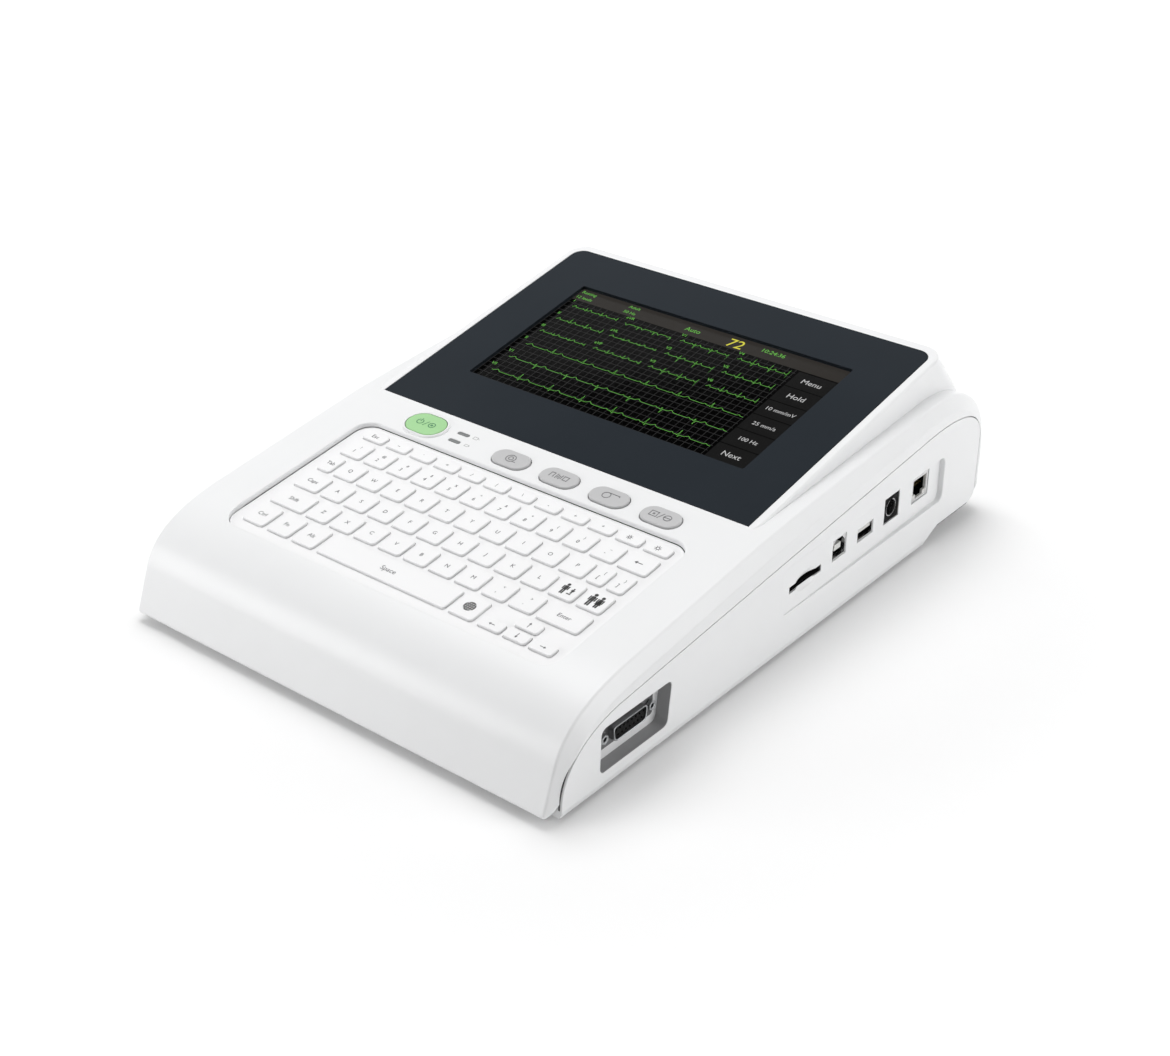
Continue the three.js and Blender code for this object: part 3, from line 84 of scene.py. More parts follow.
# Drawn in (y, z), facing along +X
ALONG_X = Matrix(((0, 0, 1, 0), (1, 0, 0, 0), (0, 1, 0, 0), (0, 0, 0, 1)))
# Drawn in (-x, z), facing along +Y
ALONG_Y = Matrix(((-1, 0, 0, 0), (0, 0, 1, 0), (0, 1, 0, 0), (0, 0, 0, 1)))
# Axis that the recorder door turns on
HINGE = Matrix.Translation((-131.45, 0, 13.5)) @ ALONG_Y


# Height of a relief of 1 in metres, and how much of a glowing colour is left as paint
BUMP_DEPTH = 0.0001
UNLIT_SHARE = 0.08


class Shading:
    """Node building shared by the materials and the world."""

    @staticmethod
    def start(name: str) -> tuple[bpy.types.Material, bpy.types.Nodes, bpy.types.NodeLinks, Node]:
        """Adds a node material.

        Args:
            name: The material's name.

        Returns:
            The material, its nodes, its links and its main shader.
        """
        material = bpy.data.materials.new(name)
        material.use_nodes = True
        tree = material.node_tree
        return material, tree.nodes, tree.links, tree.nodes["Principled BSDF"]

    @staticmethod
    def put(node: Node, **values: object) -> Node:
        """Sets inputs by name, with an underscore for each space."""
        for name, value in values.items():
            node.inputs[name.replace("_", " ")].default_value = value
        return node


@dataclass(frozen=True)
class Moulded:
    """Plastic, rubber, metal or board finish with a fine grain, some mottling and a soft gloss."""

    name: str
    colour: Colour
    roughness: float = 0.42
    metallic: float = 0.0
    grain: float = 2600.0
    relief: float = 0.05
    mottling: float = 0.03
    gloss_spread: float = 0.06
    specular: float = 0.5
    glow: float = 0.0
    stretch: tuple[float, float, float] = (1.0, 1.0, 1.0)

    def make(self) -> bpy.types.Material:
        """Builds the node material, or returns the one made before.

        Returns:
            The material.
        """
        made = bpy.data.materials.get(self.name)
        if made:
            return made
        material, nodes, links, shader = Shading.start(self.name)
        Shading.put(shader, Metallic=self.metallic, Specular_IOR_Level=self.specular)
        place = nodes.new("ShaderNodeTexCoord")
        turn = nodes.new("ShaderNodeMapping")
        turn.inputs["Scale"].default_value = self.stretch
        links.new(place.outputs["Object"], turn.inputs["Vector"])
        grain = nodes.new("ShaderNodeTexNoise")
        Shading.put(grain, Scale=self.grain, Detail=3.0)
        links.new(turn.outputs["Vector"], grain.inputs["Vector"])
        cloud = nodes.new("ShaderNodeTexNoise")
        Shading.put(cloud, Scale=22.0, Detail=2.0)
        links.new(turn.outputs["Vector"], cloud.inputs["Vector"])
        tone = nodes.new("ShaderNodeValToRGB")
        body = [c * UNLIT_SHARE for c in self.colour] if self.glow else self.colour
        for stop, at, change in zip(tone.color_ramp.elements, (0.3, 0.7), (-self.mottling, self.mottling)):
            stop.position = at
            stop.color = (*[min(c * (1.0 + change), 1.0) for c in body], 1.0)
        links.new(cloud.outputs["Fac"], tone.inputs["Fac"])
        links.new(tone.outputs["Color"], shader.inputs["Base Color"])
        spread = nodes.new("ShaderNodeMapRange")
        spread.inputs["To Min"].default_value = max(self.roughness - self.gloss_spread, 0.02)
        spread.inputs["To Max"].default_value = min(self.roughness + self.gloss_spread, 1.0)
        links.new(grain.outputs["Fac"], spread.inputs["Value"])
        links.new(spread.outputs["Result"], shader.inputs["Roughness"])
        bump = nodes.new("ShaderNodeBump")
        Shading.put(bump, Strength=self.relief, Distance=BUMP_DEPTH)
        links.new(grain.outputs["Fac"], bump.inputs["Height"])
        links.new(bump.outputs["Normal"], shader.inputs["Normal"])
        if self.glow:
            shader.inputs["Emission Color"].default_value = (*self.colour, 1.0)
            shader.inputs["Emission Strength"].default_value = self.glow
        return material


@dataclass(frozen=True)
class ClearWindow:
    """Faintly smoked acrylic over the display, which it lets through by its alpha."""

    name: str = "clear_window"

    def make(self) -> bpy.types.Material:
        """Builds the window material.

        Returns:
            The material.
        """
        made = bpy.data.materials.get(self.name)
        if made:
            return made
        material, nodes, links, shader = Shading.start(self.name)
        Shading.put(shader, Base_Color=(0.0, 0.0, 0.0, 1.0), Alpha=0.09, Specular_IOR_Level=0.0)
        place = nodes.new("ShaderNodeTexCoord")
        haze = nodes.new("ShaderNodeTexNoise")
        haze.inputs["Scale"].default_value = 30.0
        links.new(place.outputs["Object"], haze.inputs["Vector"])
        spread = nodes.new("ShaderNodeMapRange")
        spread.inputs["To Min"].default_value = 0.01
        spread.inputs["To Max"].default_value = 0.05
        links.new(haze.outputs["Fac"], spread.inputs["Value"])
        links.new(spread.outputs["Result"], shader.inputs["Roughness"])
        return material


class Finish(Enum):
    """The finishes that the machine's pieces take."""

    HOUSING = Moulded("housing_plastic", (0.79, 0.795, 0.8), roughness=0.36, relief=0.06, mottling=0.008)
    # Painted shade: the dark strip in the parting line stands in for the shade of the gap between the shells
    SEAM = Moulded("seam_painted_shade", (0.075, 0.075, 0.077), roughness=0.8)
    # Painted shade: dark grey for the walls of the lead connector's pocket, which are the housing's white
    # plastic
    POCKET = Moulded("pocket_painted_shade", (0.3, 0.3, 0.305), roughness=0.5, relief=0.08, mottling=0.02)
    KEY = Moulded("key_silicone", (0.83, 0.83, 0.835), roughness=0.46, relief=0.04, mottling=0.006)
    LENS = Moulded(
        "lens_acrylic", (0.022, 0.027, 0.033), roughness=0.2, relief=0.0, mottling=0.03, grain=500.0,
        specular=0.02)
    DISPLAY = Moulded(
        "display_black", (0.002, 0.002, 0.002), roughness=0.1, relief=0.0, grain=300.0, specular=0.05)
    GREEN = Moulded("green_cap", (0.32, 0.6, 0.27), roughness=0.4, relief=0.03, mottling=0.02)
    GREY = Moulded("grey_cap", (0.47, 0.47, 0.475), roughness=0.45, relief=0.04, mottling=0.02)
    SIGN = Moulded("sign_grey", (0.16, 0.16, 0.165), roughness=0.6)
    GREEN_SIGN = Moulded("green_sign", (0.05, 0.2, 0.09), roughness=0.6)
    FAINT_SIGN = Moulded("faint_sign", (0.42, 0.42, 0.42), roughness=0.6)
    INK = Moulded("key_ink", (0.09, 0.09, 0.095), roughness=0.6)
    BLACK_INK = Moulded("black_ink", (0.006, 0.006, 0.006), roughness=0.55)
    LAMP = Moulded("lamp_window", (0.17, 0.18, 0.18), roughness=0.35)
    NICKEL = Moulded(
        "bright_nickel", (0.66, 0.66, 0.665), roughness=0.24, metallic=1.0, grain=1500.0, mottling=0.06)
    SMOKED = Moulded(
        "dark_nickel", (0.2, 0.2, 0.205), roughness=0.32, metallic=0.9, grain=1500.0, mottling=0.1)
    GOLD = Moulded("contact_gold", (0.75, 0.52, 0.2), roughness=0.28, metallic=1.0)
    BLACK = Moulded("black_nylon", (0.006, 0.006, 0.006), roughness=0.5, relief=0.1, specular=0.06)
    # Near-black: the real colour of the jack's core, and painted shade in the socket wells, the post bores
    # and the gaps round the sockets
    HOLLOW = Moulded("socket_black_and_painted_shade", (0.002, 0.002, 0.002), roughness=0.8, specular=0.03)
    TONGUE = Moulded("tongue_white", (0.6, 0.6, 0.58), roughness=0.45)
    BOARD = Moulded("board_green", (0.02, 0.16, 0.06), roughness=0.45, grain=700.0, mottling=0.15)
    CAN = Moulded(
        "can_metal", (0.5, 0.51, 0.52), roughness=0.38, metallic=1.0, stretch=(1.0, 12.0, 1.0), mottling=0.08)
    CELL = Moulded("cell_blue", (0.04, 0.09, 0.24), roughness=0.4, mottling=0.06)
    RUBBER = Moulded(
        "soft_rubber", (0.022, 0.022, 0.022), roughness=0.8, relief=0.2, grain=1800.0, mottling=0.12)
    STEEL = Moulded("ground_steel", (0.42, 0.43, 0.44), roughness=0.3, metallic=1.0, stretch=(1.0, 0.05, 1.0))
    FRAME = Moulded("cradle_grey", (0.5, 0.51, 0.49), roughness=0.55, relief=0.12)
    GEAR = Moulded("gear_nylon", (0.12, 0.13, 0.13), roughness=0.5, relief=0.1)
    PAPER = Moulded(
        "thermal_paper", (0.84, 0.78, 0.74), roughness=0.75, grain=4000.0, stretch=(1.0, 0.03, 1.0),
        mottling=0.05)
    GRID = Moulded("trace_grid", (0.11, 0.11, 0.11), roughness=0.1, relief=0.0, glow=0.26, specular=0.05)
    TRACE = Moulded("trace_green", (0.22, 0.72, 0.12), roughness=0.3, relief=0.0, glow=0.75, specular=0.0)
    BAR = Moulded("status_bar", (0.045, 0.041, 0.037), roughness=0.1, relief=0.0, glow=0.8, specular=0.05)
    CELLS = Moulded("menu_cell", (0.013, 0.013, 0.013), roughness=0.1, relief=0.0, glow=1.0, specular=0.05)
    YELLOW = Moulded("rate_yellow", (0.9, 0.85, 0.1), roughness=0.3, relief=0.0, glow=0.85, specular=0.0)
    WHITE = Moulded("menu_white", (0.75, 0.75, 0.75), roughness=0.3, relief=0.0, glow=0.8, specular=0.0)
    WINDOW = ClearWindow()

    def make(self) -> bpy.types.Material:
        """The material of this finish."""
        return self.value.make()


def arc(x: float, y: float, radius: float, start: float, end: float, steps: int) -> list[Point]:
    """Points along an arc.

    Args:
        x: Centre across.
        y: Centre up.
        radius: Radius in millimetres.
        start: First angle in radians.
        end: Last angle in radians.
        steps: Number of chords.

    Returns:
        The points in order.
    """
    turns = [start + (end - start) * i / steps for i in range(steps + 1)]
    return [(x + math.cos(a) * radius, y + math.sin(a) * radius) for a in turns]


def rounded(w: float, d: float, r: float, x: float = 0.0, y: float = 0.0, steps: int = 6) -> list[Point]:
    """Outline of a rectangle with round corners, counter-clockwise.

    Args:
        w: Width.
        d: Depth.
        r: Corner radius.
        x: Centre across.
        y: Centre up.
        steps: Chords in each corner.

    Returns:
        The outline.
    """
    r = max(min(r, w / 2 - 0.001, d / 2 - 0.001), 0.001)
    points: list[Point] = []
    for i, (sx, sy) in enumerate(((1, -1), (1, 1), (-1, 1), (-1, -1))):
        start = (i - 1) * math.pi / 2
        points += arc(x + sx * (w / 2 - r), y + sy * (d / 2 - r), r, start, start + math.pi / 2, steps)
    return points


# Body and slot of the pieces that ride on the housing
SHELL, METAL, INSERT = (("housing", slot) for slot in ("housing_white", "nickel", "insert_black"))


@dataclass
class Corner:
    """Corner of a side profile, blended over a length before and after it."""

    y: float
    z: float
    before: float = 0.0
    after: float = 0.0
    pulls: Point = (0.55, 0.55)
    steps: int = 6


def blended(corners: Sequence[Corner], inset: float) -> list[Point]:
    """Side profile of straight lines with blended corners, moved inwards.

    Args:
        corners: The corners, clockwise.
        inset: How far every line moves inwards.

    Returns:
        The outline in (y, z), counter-clockwise.
    """
    count = len(corners)
    lines = []
    for i, c in enumerate(corners):
        n = corners[(i + 1) % count]
        along = Vector((n.y - c.y, n.z - c.z)).normalized()
        lines.append((Vector((c.y, c.z)) + Vector((along.y, -along.x)) * inset, along))
    points: list[Point] = []
    for i, c in enumerate(corners):
        (pa, a), (pb, b) = lines[i - 1], lines[i]
        gap = pb - pa
        meet = pa + a * ((gap.x * b.y - gap.y * b.x) / (a.x * b.y - a.y * b.x))
        if not c.before:
            points.append((meet.x, meet.y))
            continue
        less = inset * math.tan(a.angle(b) / 2)
        start = meet - a * max(c.before - less, c.before * 0.15)
        end = meet + b * max(c.after - less, c.after * 0.15)
        one, two = start.lerp(meet, c.pulls[0]), end.lerp(meet, c.pulls[1])
        for k in range(c.steps + 1):
            t = k / c.steps
            u = 1 - t
            p = start * u ** 3 + one * (3 * u * u * t) + two * (3 * u * t * t) + end * t ** 3
            points.append((p.x, p.y))
    return points[::-1]


class Bench:
    """Modelling operations shared by every sub-assembly."""

    @staticmethod
    def clear() -> None:
        """Deselects everything in object mode."""
        if bpy.context.mode != "OBJECT":
            bpy.ops.object.mode_set(mode="OBJECT")
        bpy.ops.object.select_all(action="DESELECT")

    @staticmethod
    def pick(*pieces: Piece) -> None:
        """Selects the pieces and makes the first one active."""
        Bench.clear()
        for piece in pieces:
            piece.select_set(True)
        bpy.context.view_layer.objects.active = pieces[0]

    @staticmethod
    def stack(rings: Sequence[tuple[Sequence[Point], float]], place: Matrix = FLAT) -> Piece:
        """Extrudes a disc through a row of outlines of equal count.

        Args:
            rings: Each outline, counter-clockwise, with its height.
            place: Where the stack's own frame lies.

        Returns:
            The closed piece, in millimetres.
        """
        rings = sorted(rings, key=lambda ring: ring[1])
        count = len(rings[0][0])
        Bench.clear()
        bpy.ops.mesh.primitive_circle_add(vertices=count, radius=1.0, fill_type="NGON")
        piece = bpy.context.object
        bpy.ops.object.mode_set(mode="EDIT")
        bpy.ops.mesh.select_all(action="SELECT")
        for _ in rings[1:]:
            bpy.ops.mesh.extrude_region_move(TRANSFORM_OT_translate={"value": (0, 0, 1)})
        bpy.ops.mesh.select_all(action="SELECT")
        bpy.ops.mesh.normals_make_consistent(inside=False)
        bpy.ops.object.mode_set(mode="OBJECT")
        for v in piece.data.vertices:
            points, height = rings[round(v.co.z)]
            u, w = points[round(math.atan2(-v.co.x, v.co.y) / math.tau * count) % count]
            v.co = place @ Vector((u, w, height))
        piece.data.update()
        return piece

    @staticmethod
    def prism(points: Sequence[Point], low: float, high: float, place: Matrix = FLAT) -> Piece:
        """Extrudes one outline between two heights."""
        return Bench.stack([(points, low), (points, high)], place)

    @staticmethod
    def cube(low: Sequence[float], high: Sequence[float], place: Matrix = FLAT) -> Piece:
        """Adds a block between two corners."""
        size = [b - a for a, b in zip(low, high)]
        centre = [(a + b) / 2 for a, b in zip(low, high)]
        Bench.clear()
        bpy.ops.mesh.primitive_cube_add(size=1.0, location=centre, scale=size)
        piece = bpy.context.object
        bpy.ops.object.transform_apply(location=True, rotation=True, scale=True)
        piece.data.transform(place)
        return piece

    @staticmethod
    def rod(radius: float, low: float, high: float, place: Matrix = FLAT, sides: int = 32) -> Piece:
        """Adds a round bar along its own z."""
        Bench.clear()
        bpy.ops.mesh.primitive_cylinder_add(
            vertices=sides, radius=radius, depth=high - low, location=(0, 0, (low + high) / 2))
        piece = bpy.context.object
        bpy.ops.object.transform_apply(location=True, rotation=True, scale=True)
        piece.data.transform(place)
        return piece

    @staticmethod
    def solve(target: Piece, kind: str, *tools: Piece) -> Piece:
        """Applies a boolean with each tool and removes the tools.

        Args:
            target: The piece that is changed.
            kind: DIFFERENCE, UNION or INTERSECT.
            tools: The pieces used up.

        Returns:
            The changed piece.
        """
        for tool in tools:
            Bench.pick(target)
            bpy.ops.object.modifier_add(type="BOOLEAN")
            modifier = target.modifiers[-1]
            modifier.operation = kind
            modifier.solver = "EXACT"
            modifier.object = tool
            bpy.ops.object.modifier_apply(modifier=modifier.name)
            bpy.data.objects.remove(tool)
        return target

    @staticmethod
    def cut(target: Piece, *tools: Piece) -> Piece:
        """Cuts the tools out of the target."""
        return Bench.solve(target, "DIFFERENCE", *tools)

    @staticmethod
    def join(target: Piece, *tools: Piece) -> Piece:
        """Unites the tools with the target."""
        return Bench.solve(target, "UNION", *tools)

    @staticmethod
    def merge(*pieces: Piece) -> Piece:
        """Joins the meshes into the first piece without a boolean."""
        Bench.pick(*pieces)
        if len(pieces) > 1:
            bpy.ops.object.join()
        return pieces[0]

    @staticmethod
    def edges(piece: Piece, keep: Callable[[Vector, Vector], bool], width: float, segments: int) -> Piece:
        """Bevels the edges that a test picks by their two ends.

        Args:
            piece: The piece.
            keep: Takes the two ends of an edge and says whether it is bevelled.
            width: Bevel width.
            segments: Bevel segments.

        Returns:
            The bevelled piece.
        """
        Bench.pick(piece)
        bpy.ops.object.mode_set(mode="EDIT")
        bpy.ops.mesh.select_mode(type="EDGE")
        bpy.ops.mesh.select_all(action="DESELECT")
        bpy.ops.object.mode_set(mode="OBJECT")
        points = piece.data.vertices
        for edge in piece.data.edges:
            a, b = (points[i].co for i in edge.vertices)
            edge.select = bool(keep(a, b))
        bpy.ops.object.mode_set(mode="EDIT")
        bpy.ops.mesh.bevel(offset=width, segments=segments, affect="EDGES")
        bpy.ops.object.mode_set(mode="OBJECT")
        return piece

    @staticmethod
    def soften(piece: Piece, width: float, segments: int = 2, angle: float = 35.0) -> Piece:
        """Rounds every sharp edge with a bevel modifier."""
        Bench.pick(piece)
        bpy.ops.object.modifier_add(type="BEVEL")
        modifier = piece.modifiers[-1]
        modifier.width = width
        modifier.segments = segments
        modifier.limit_method = "ANGLE"
        modifier.angle_limit = math.radians(angle)
        bpy.ops.object.modifier_apply(modifier=modifier.name)
        return piece

    @staticmethod
    def twin(piece: Piece, place: Matrix) -> Piece:
        """Copies a piece with its own mesh to another place."""
        copy = piece.copy()
        copy.data = piece.data.copy()
        copy.data.transform(place)
        bpy.context.scene.collection.objects.link(copy)
        return copy

    @staticmethod
    def words(text: str, size: float, thick: float = 0.04) -> Piece:
        """Makes a line of text into a thin mesh centred on the origin.

        Args:
            text: The characters.
            size: Height of the type.
            thick: Half of the ink's thickness.

        Returns:
            The mesh.
        """
        Bench.clear()
        bpy.ops.object.text_add(location=(0, 0, 0))
        piece = bpy.context.object
        piece.data.body = text
        piece.data.size = size
        piece.data.align_x = "CENTER"
        piece.data.align_y = "CENTER"
        piece.data.extrude = thick
        piece.data.resolution_u = 3
        bpy.ops.object.convert(target="MESH")
        return bpy.context.object

    @staticmethod
    def done(
        piece: Piece,
        name: str,
        finish: Finish,
        body: str,
        slot: str,
        replaces: Sequence[str] = (),
        place: Matrix = FLAT,
        angle: float = 28.0,
    ) -> Piece:
        """Settles a piece into the frame, dresses it and lets it ride on its body.

        Args:
            piece: The piece, in millimetres.
            name: Its name.
            finish: The finish of faces that have none yet.
            body: The body that it rides on.
            slot: Name of a material slot; not used.
            replaces: CAD nodes that it stands for.
            place: A last move, such as a panel's frame.
            angle: Sharpest angle that is shaded smooth.

        Returns:
            The finished piece.
        """
        piece.name = name
        piece.data.name = name
        piece.data.transform(SETTLE @ place)
        if not piece.data.materials:
            piece.data.materials.append(finish.make())
        Bench.pick(piece)
        bpy.ops.object.shade_smooth_by_angle(angle=math.radians(angle))
        bpy.ops.object.modifier_add(type="WEIGHTED_NORMAL")
        piece.modifiers[-1].keep_sharp = True
        bpy.ops.object.modifier_apply(modifier=piece.modifiers[-1].name)
        if replaces:
            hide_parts(*replaces)
        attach(piece, body)
        LOG.info("piece %s rides on %s", name, body)
        return piece

    @staticmethod
    def dress(node: str, finish: Finish) -> None:
        """Gives a carried-over CAD node its finish."""
        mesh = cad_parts[node].data
        mesh.materials.clear()
        mesh.materials.append(finish.make())
        LOG.info("node %s dressed", node)


def fillet(radius: float, base: float, top: float, steps: int = 4) -> list[tuple[float, float]]:
    """Growth and height of a cutter's rings that leave a rounded edge.

    Args:
        radius: Radius of the rounded edge.
        base: Growth of the cutter below the edge.
        top: Height of the face that the cutter leaves.
        steps: Chords of the rounding.

    Returns:
        Pairs of growth and height, from below.
    """
    turns = [math.pi / 2 * i / steps for i in range(steps + 1)]
    return [(base + radius * (1 - math.cos(t)), top - radius + radius * math.sin(t)) for t in turns]


@dataclass
class HousingShells:
    """Upper shell, lower tub and the parting line between them."""

    wall: float = 2.5
    side_wall: float = 4.7
    lip_z: float = 4.0
    nose_lean: float = math.radians(20.8)
    shoulder_tilt: float = math.radians(4.4)
    seam_tilt: float = math.radians(5.74)
    seam_gap: float = 0.44
    floor_z: float = 2.0
    rear_z: float = 8.0
    lens_width: float = 233.9
    lens_depth: float = 165.7
    lens_round: float = 7.0
    # From the side face inwards: where each crest ring lies, and how far it is inset
    crest: tuple[Point, ...] = (
        (0.0, 8.3), (0.12, 7.55), (0.4, 7.0), (3.4, 1.2), (3.62, 0.74),
        (3.95, 0.38), (4.35, 0.12), (4.84, 0.0))
    # From the side face inwards: edge inset and share of the floor's rise, for the tub
    tub_edge: tuple[tuple[float, float, float], ...] = (
        (0.0, 0.24, 0.9), (0.12, 0.08, 0.87), (0.4, 0.0, 0.66), (1.2, 0.0, 0.0))

    def outer_corners(self) -> list[Corner]:
        """Corners of the outer side profile."""
        lean = math.tan(self.nose_lean)
        slope = math.tan(DECK_TILT)
        nose_z = (deck_z(FRONT_Y) - lean * slope * self.lip_z) / (1 - lean * slope)
        nose_in = (nose_z - 26.9) / math.cos(self.nose_lean)
        rear_top = FOLD_Z + (REAR_Y - FOLD_Y) * math.tan(self.shoulder_tilt)
        return [
            Corner(FRONT_Y, self.lip_z, 3.1, 3.1, steps=6),
            Corner(FRONT_Y + (nose_z - self.lip_z) * lean, nose_z, nose_in, 40.4, (0.65, 0.7), 26),
            Corner(FOLD_Y, FOLD_Z, 12.0, 30.0, steps=8),
            Corner(REAR_Y, rear_top, 58.0, 49.0, (0.65, 0.55), 24),
            Corner(REAR_Y, self.rear_z, 7.0, 7.0, steps=8),
        ]

    def seam_z(self, y: float) -> float:
        """Height of the parting line's straight run at y."""
        return 52.1 + (y - FOLD_Y) * math.tan(self.seam_tilt)

    def tub_corners(self, base: float, rear: float) -> list[Corner]:
        """Corners of the tub's side profile."""
        front, back = FRONT_Y + 8.2, REAR_Y - 9.9
        return [
            Corner(front, base),
            Corner(front, self.seam_z(front), self.seam_z(front) - 5.94, 42.0, (0.6, 0.65), 26),
            Corner(back, self.seam_z(back), 56.5, 25.4, (0.6, 0.7), 24),
            Corner(back, rear, 7.0, 7.0, steps=8),
            Corner(135.0, rear),
            Corner(124.0, base),
        ]

    def across(self, rings: Sequence[tuple[Sequence[Point], float]]) -> Piece:
        """Stacks side profiles across the width, mirrored to the other side."""
        back = [(points, -x) for points, x in reversed(rings)]
        return Bench.stack([*rings, *back], ALONG_X)

    def slab(self, points: Sequence[Point], reach: float) -> Piece:
        """Extrudes one side profile to both sides."""
        return Bench.prism(points, -reach, reach, ALONG_X)

    def block_points(self, inset: float, flare: float, rear_flare: float) -> list[Point]:
        """Outline of the raised screen block on the lens plane."""
        w = self.lens_width + 2 * (4.9 + flare - inset)
        end = self.lens_depth + 5.73 + rear_flare - inset
        return rounded(w, end + 6.0, 11.0, 0.0, (end - 6.0) / 2, 8)

    def block(self, inset: float, low: float, top: float) -> Piece:
        """Raised block that carries the screen, with its rounded upper edge."""
        edge = 1.4
        rings = [(self.block_points(inset, 1.6, 15.0), low)]
        for i in range(6):
            t = math.pi / 2 * i / 5
            grow = inset + edge * (1 - math.cos(t))
            rings.append((self.block_points(grow, 0.0, 0.0), top - edge + edge * math.sin(t)))
        return Bench.stack(rings, LENS)

    def lens_points(self, grow: float) -> list[Point]:
        """Outline of the screen lens: square at the fold, round at the rear."""
        w = self.lens_width / 2 + grow
        side, rear = w - self.lens_round, self.lens_depth - self.lens_round
        right = arc(side, rear, self.lens_round, 0, math.pi / 2, 8)
        left = arc(-side, rear, self.lens_round, math.pi / 2, math.pi, 8)
        return [(-w, -grow), (w, -grow), *right, *left]

    def recess_points(self, grow: float) -> list[Point]:
        """Outline of the keyboard recess on the deck."""
        return rounded(208.9 + 2 * grow, 102.5 + 2 * grow, 9.5 + grow, 0.0, 51.25, 10)

    def parting(self) -> Piece:
        """Region below the parting line, as a cutter for the upper shell."""
        base, rear = self.floor_z - self.wall, self.rear_z - self.wall
        steps = ((-1.0, -0.42), (0.0, -0.42), (0.12, -0.27), (0.4, -self.seam_gap / 2))
        return self.across([(blended(self.tub_corners(base, rear), inset), HALF - x) for x, inset in steps])

    def top(self) -> Piece:
        """Builds the upper shell."""
        corners = self.outer_corners()
        shell = self.across([(blended(corners, inset), HALF - x) for x, inset in self.crest])
        Bench.join(shell, self.block(0.0, -30.0, 0.0))
        Bench.cut(shell, self.slab(blended(corners, self.wall), HALF - self.side_wall))
        Bench.cut(shell, self.block(self.wall, -31.0, -4.5), self.parting())
        recess = [(self.recess_points(0.3), -7.0)]
        recess += [(self.recess_points(0.3 + g), z) for g, z in fillet(0.9, 0.0, 0.0)]
        recess.append((self.recess_points(1.2), 1.0))
        Bench.cut(shell, Bench.stack(recess, KEYS))
        lens = [(self.lens_points(0.3), -2.3)]
        lens += [(self.lens_points(0.3 + g), z) for g, z in fillet(0.3, 0.0, 0.0, 3)]
        lens.append((self.lens_points(0.6), 3.0))
        Bench.cut(shell, Bench.stack(lens, LENS))
        Bench.cut(shell, Bench.prism(rounded(192.6, 112.6, 0.5, 0.6, 84.6, 2), -40.0, -1.0, LENS))
        ring = [(ButtonRow.pill(23.5, 16.6, g, -73.4, 114.5), z)
                for g, z in ((1.85, -1.2), (1.85, 0.3), (1.66, 0.6), (1.3, 0.78), (0.95, 0.8), (0.6, 0.7))]
        Bench.join(shell, Bench.stack(ring, KEYS))
        for w, d, x, s in ButtonRow().places():
            hole = [(ButtonRow.pill(w, d, 0.35, x, s), -7.0)]
            hole += [(ButtonRow.pill(w, d, 0.35 + g, x, s), z) for g, z in fillet(0.35, 0.0, 0.0, 3)]
            hole.append((ButtonRow.pill(w, d, 0.7, x, s), 0.9 if d < 15 else 0.05))
            if d > 15:
                hole = [(ButtonRow.pill(w, d, 0.35, x, s), -7.0), (ButtonRow.pill(w, d, 0.35, x, s), 2.0)]
            Bench.cut(shell, Bench.stack(hole, KEYS))
        for s in (111.0, 118.2):
            Bench.cut(shell, Bench.prism(rounded(7.8, 2.6, 1.3, -50.9, s, 6), -7.0, 1.0, KEYS))
        Bench.cut(shell, Bench.cube((-46.1, REAR_Y - 8, 19.6), (-17.9, REAR_Y + 1, 40.4)))
        Bench.cut(shell, Bench.rod(3.3, REAR_Y - 8, REAR_Y + 1, Matrix.Translation((14, 0, 30)) @ ALONG_Y))
        return Bench.done(shell, "upper_shell", Finish.HOUSING, *SHELL, ["top_housing"], angle=24)

    def port_pocket(self) -> Piece:
        """Shallow tapering pocket round the side ports."""
        deep = 3.1
        rings = [(rounded(150.0 + 2 * g, 25.7 + 2 * g, 4.0 + g, *PORT_PANEL, 8), HALF - z)
                 for g, z in ((-0.5, deep), (-0.15, deep - 0.12), (0.0, deep - 0.5), (0.0, 0.9))]
        rings += [(rounded(150.0 + 2 * g, 25.7 + 2 * g, 4.0 + g, *PORT_PANEL, 8), z)
                  for g, z in fillet(0.7, 0.0, HALF + 0.02)]
        rings.append((rounded(151.4, 27.1, 4.7, *PORT_PANEL, 8), HALF + 1.0))
        pocket = Bench.stack(rings, ALONG_X)
        for v in pocket.data.vertices:
            share = (HALF - SidePorts.floor_x(v.co.y)) / deep
            if v.co.x < HALF:
                v.co.x = HALF - (HALF - v.co.x) * share
        return pocket

    def lead_points(self, grow: float) -> list[Point]:
        """Outline of the pocket round the patient lead connector, which leans back."""
        points = rounded(47.6 + 2 * grow, 22.6 + 2 * grow, 3.0 + grow, -125.3, 21.7, 6)
        leant = []
        for y, z in points:
            share, up = (y + 149.1) / 47.6, (z - 10.4) / 22.6
            leant.append((y + (1.2 + 1.8 * share) * up, z))
        return leant

    def lead_pocket(self) -> Piece:
        """Cutter of the connector pocket with a rounded edge."""
        rings = [(self.lead_points(0.0), HALF - 7.0)]
        rings += [(self.lead_points(g), z) for g, z in fillet(0.5, 0.0, HALF)]
        rings.append((self.lead_points(0.5), HALF + 1.0))
        return Bench.stack(rings, ALONG_X)

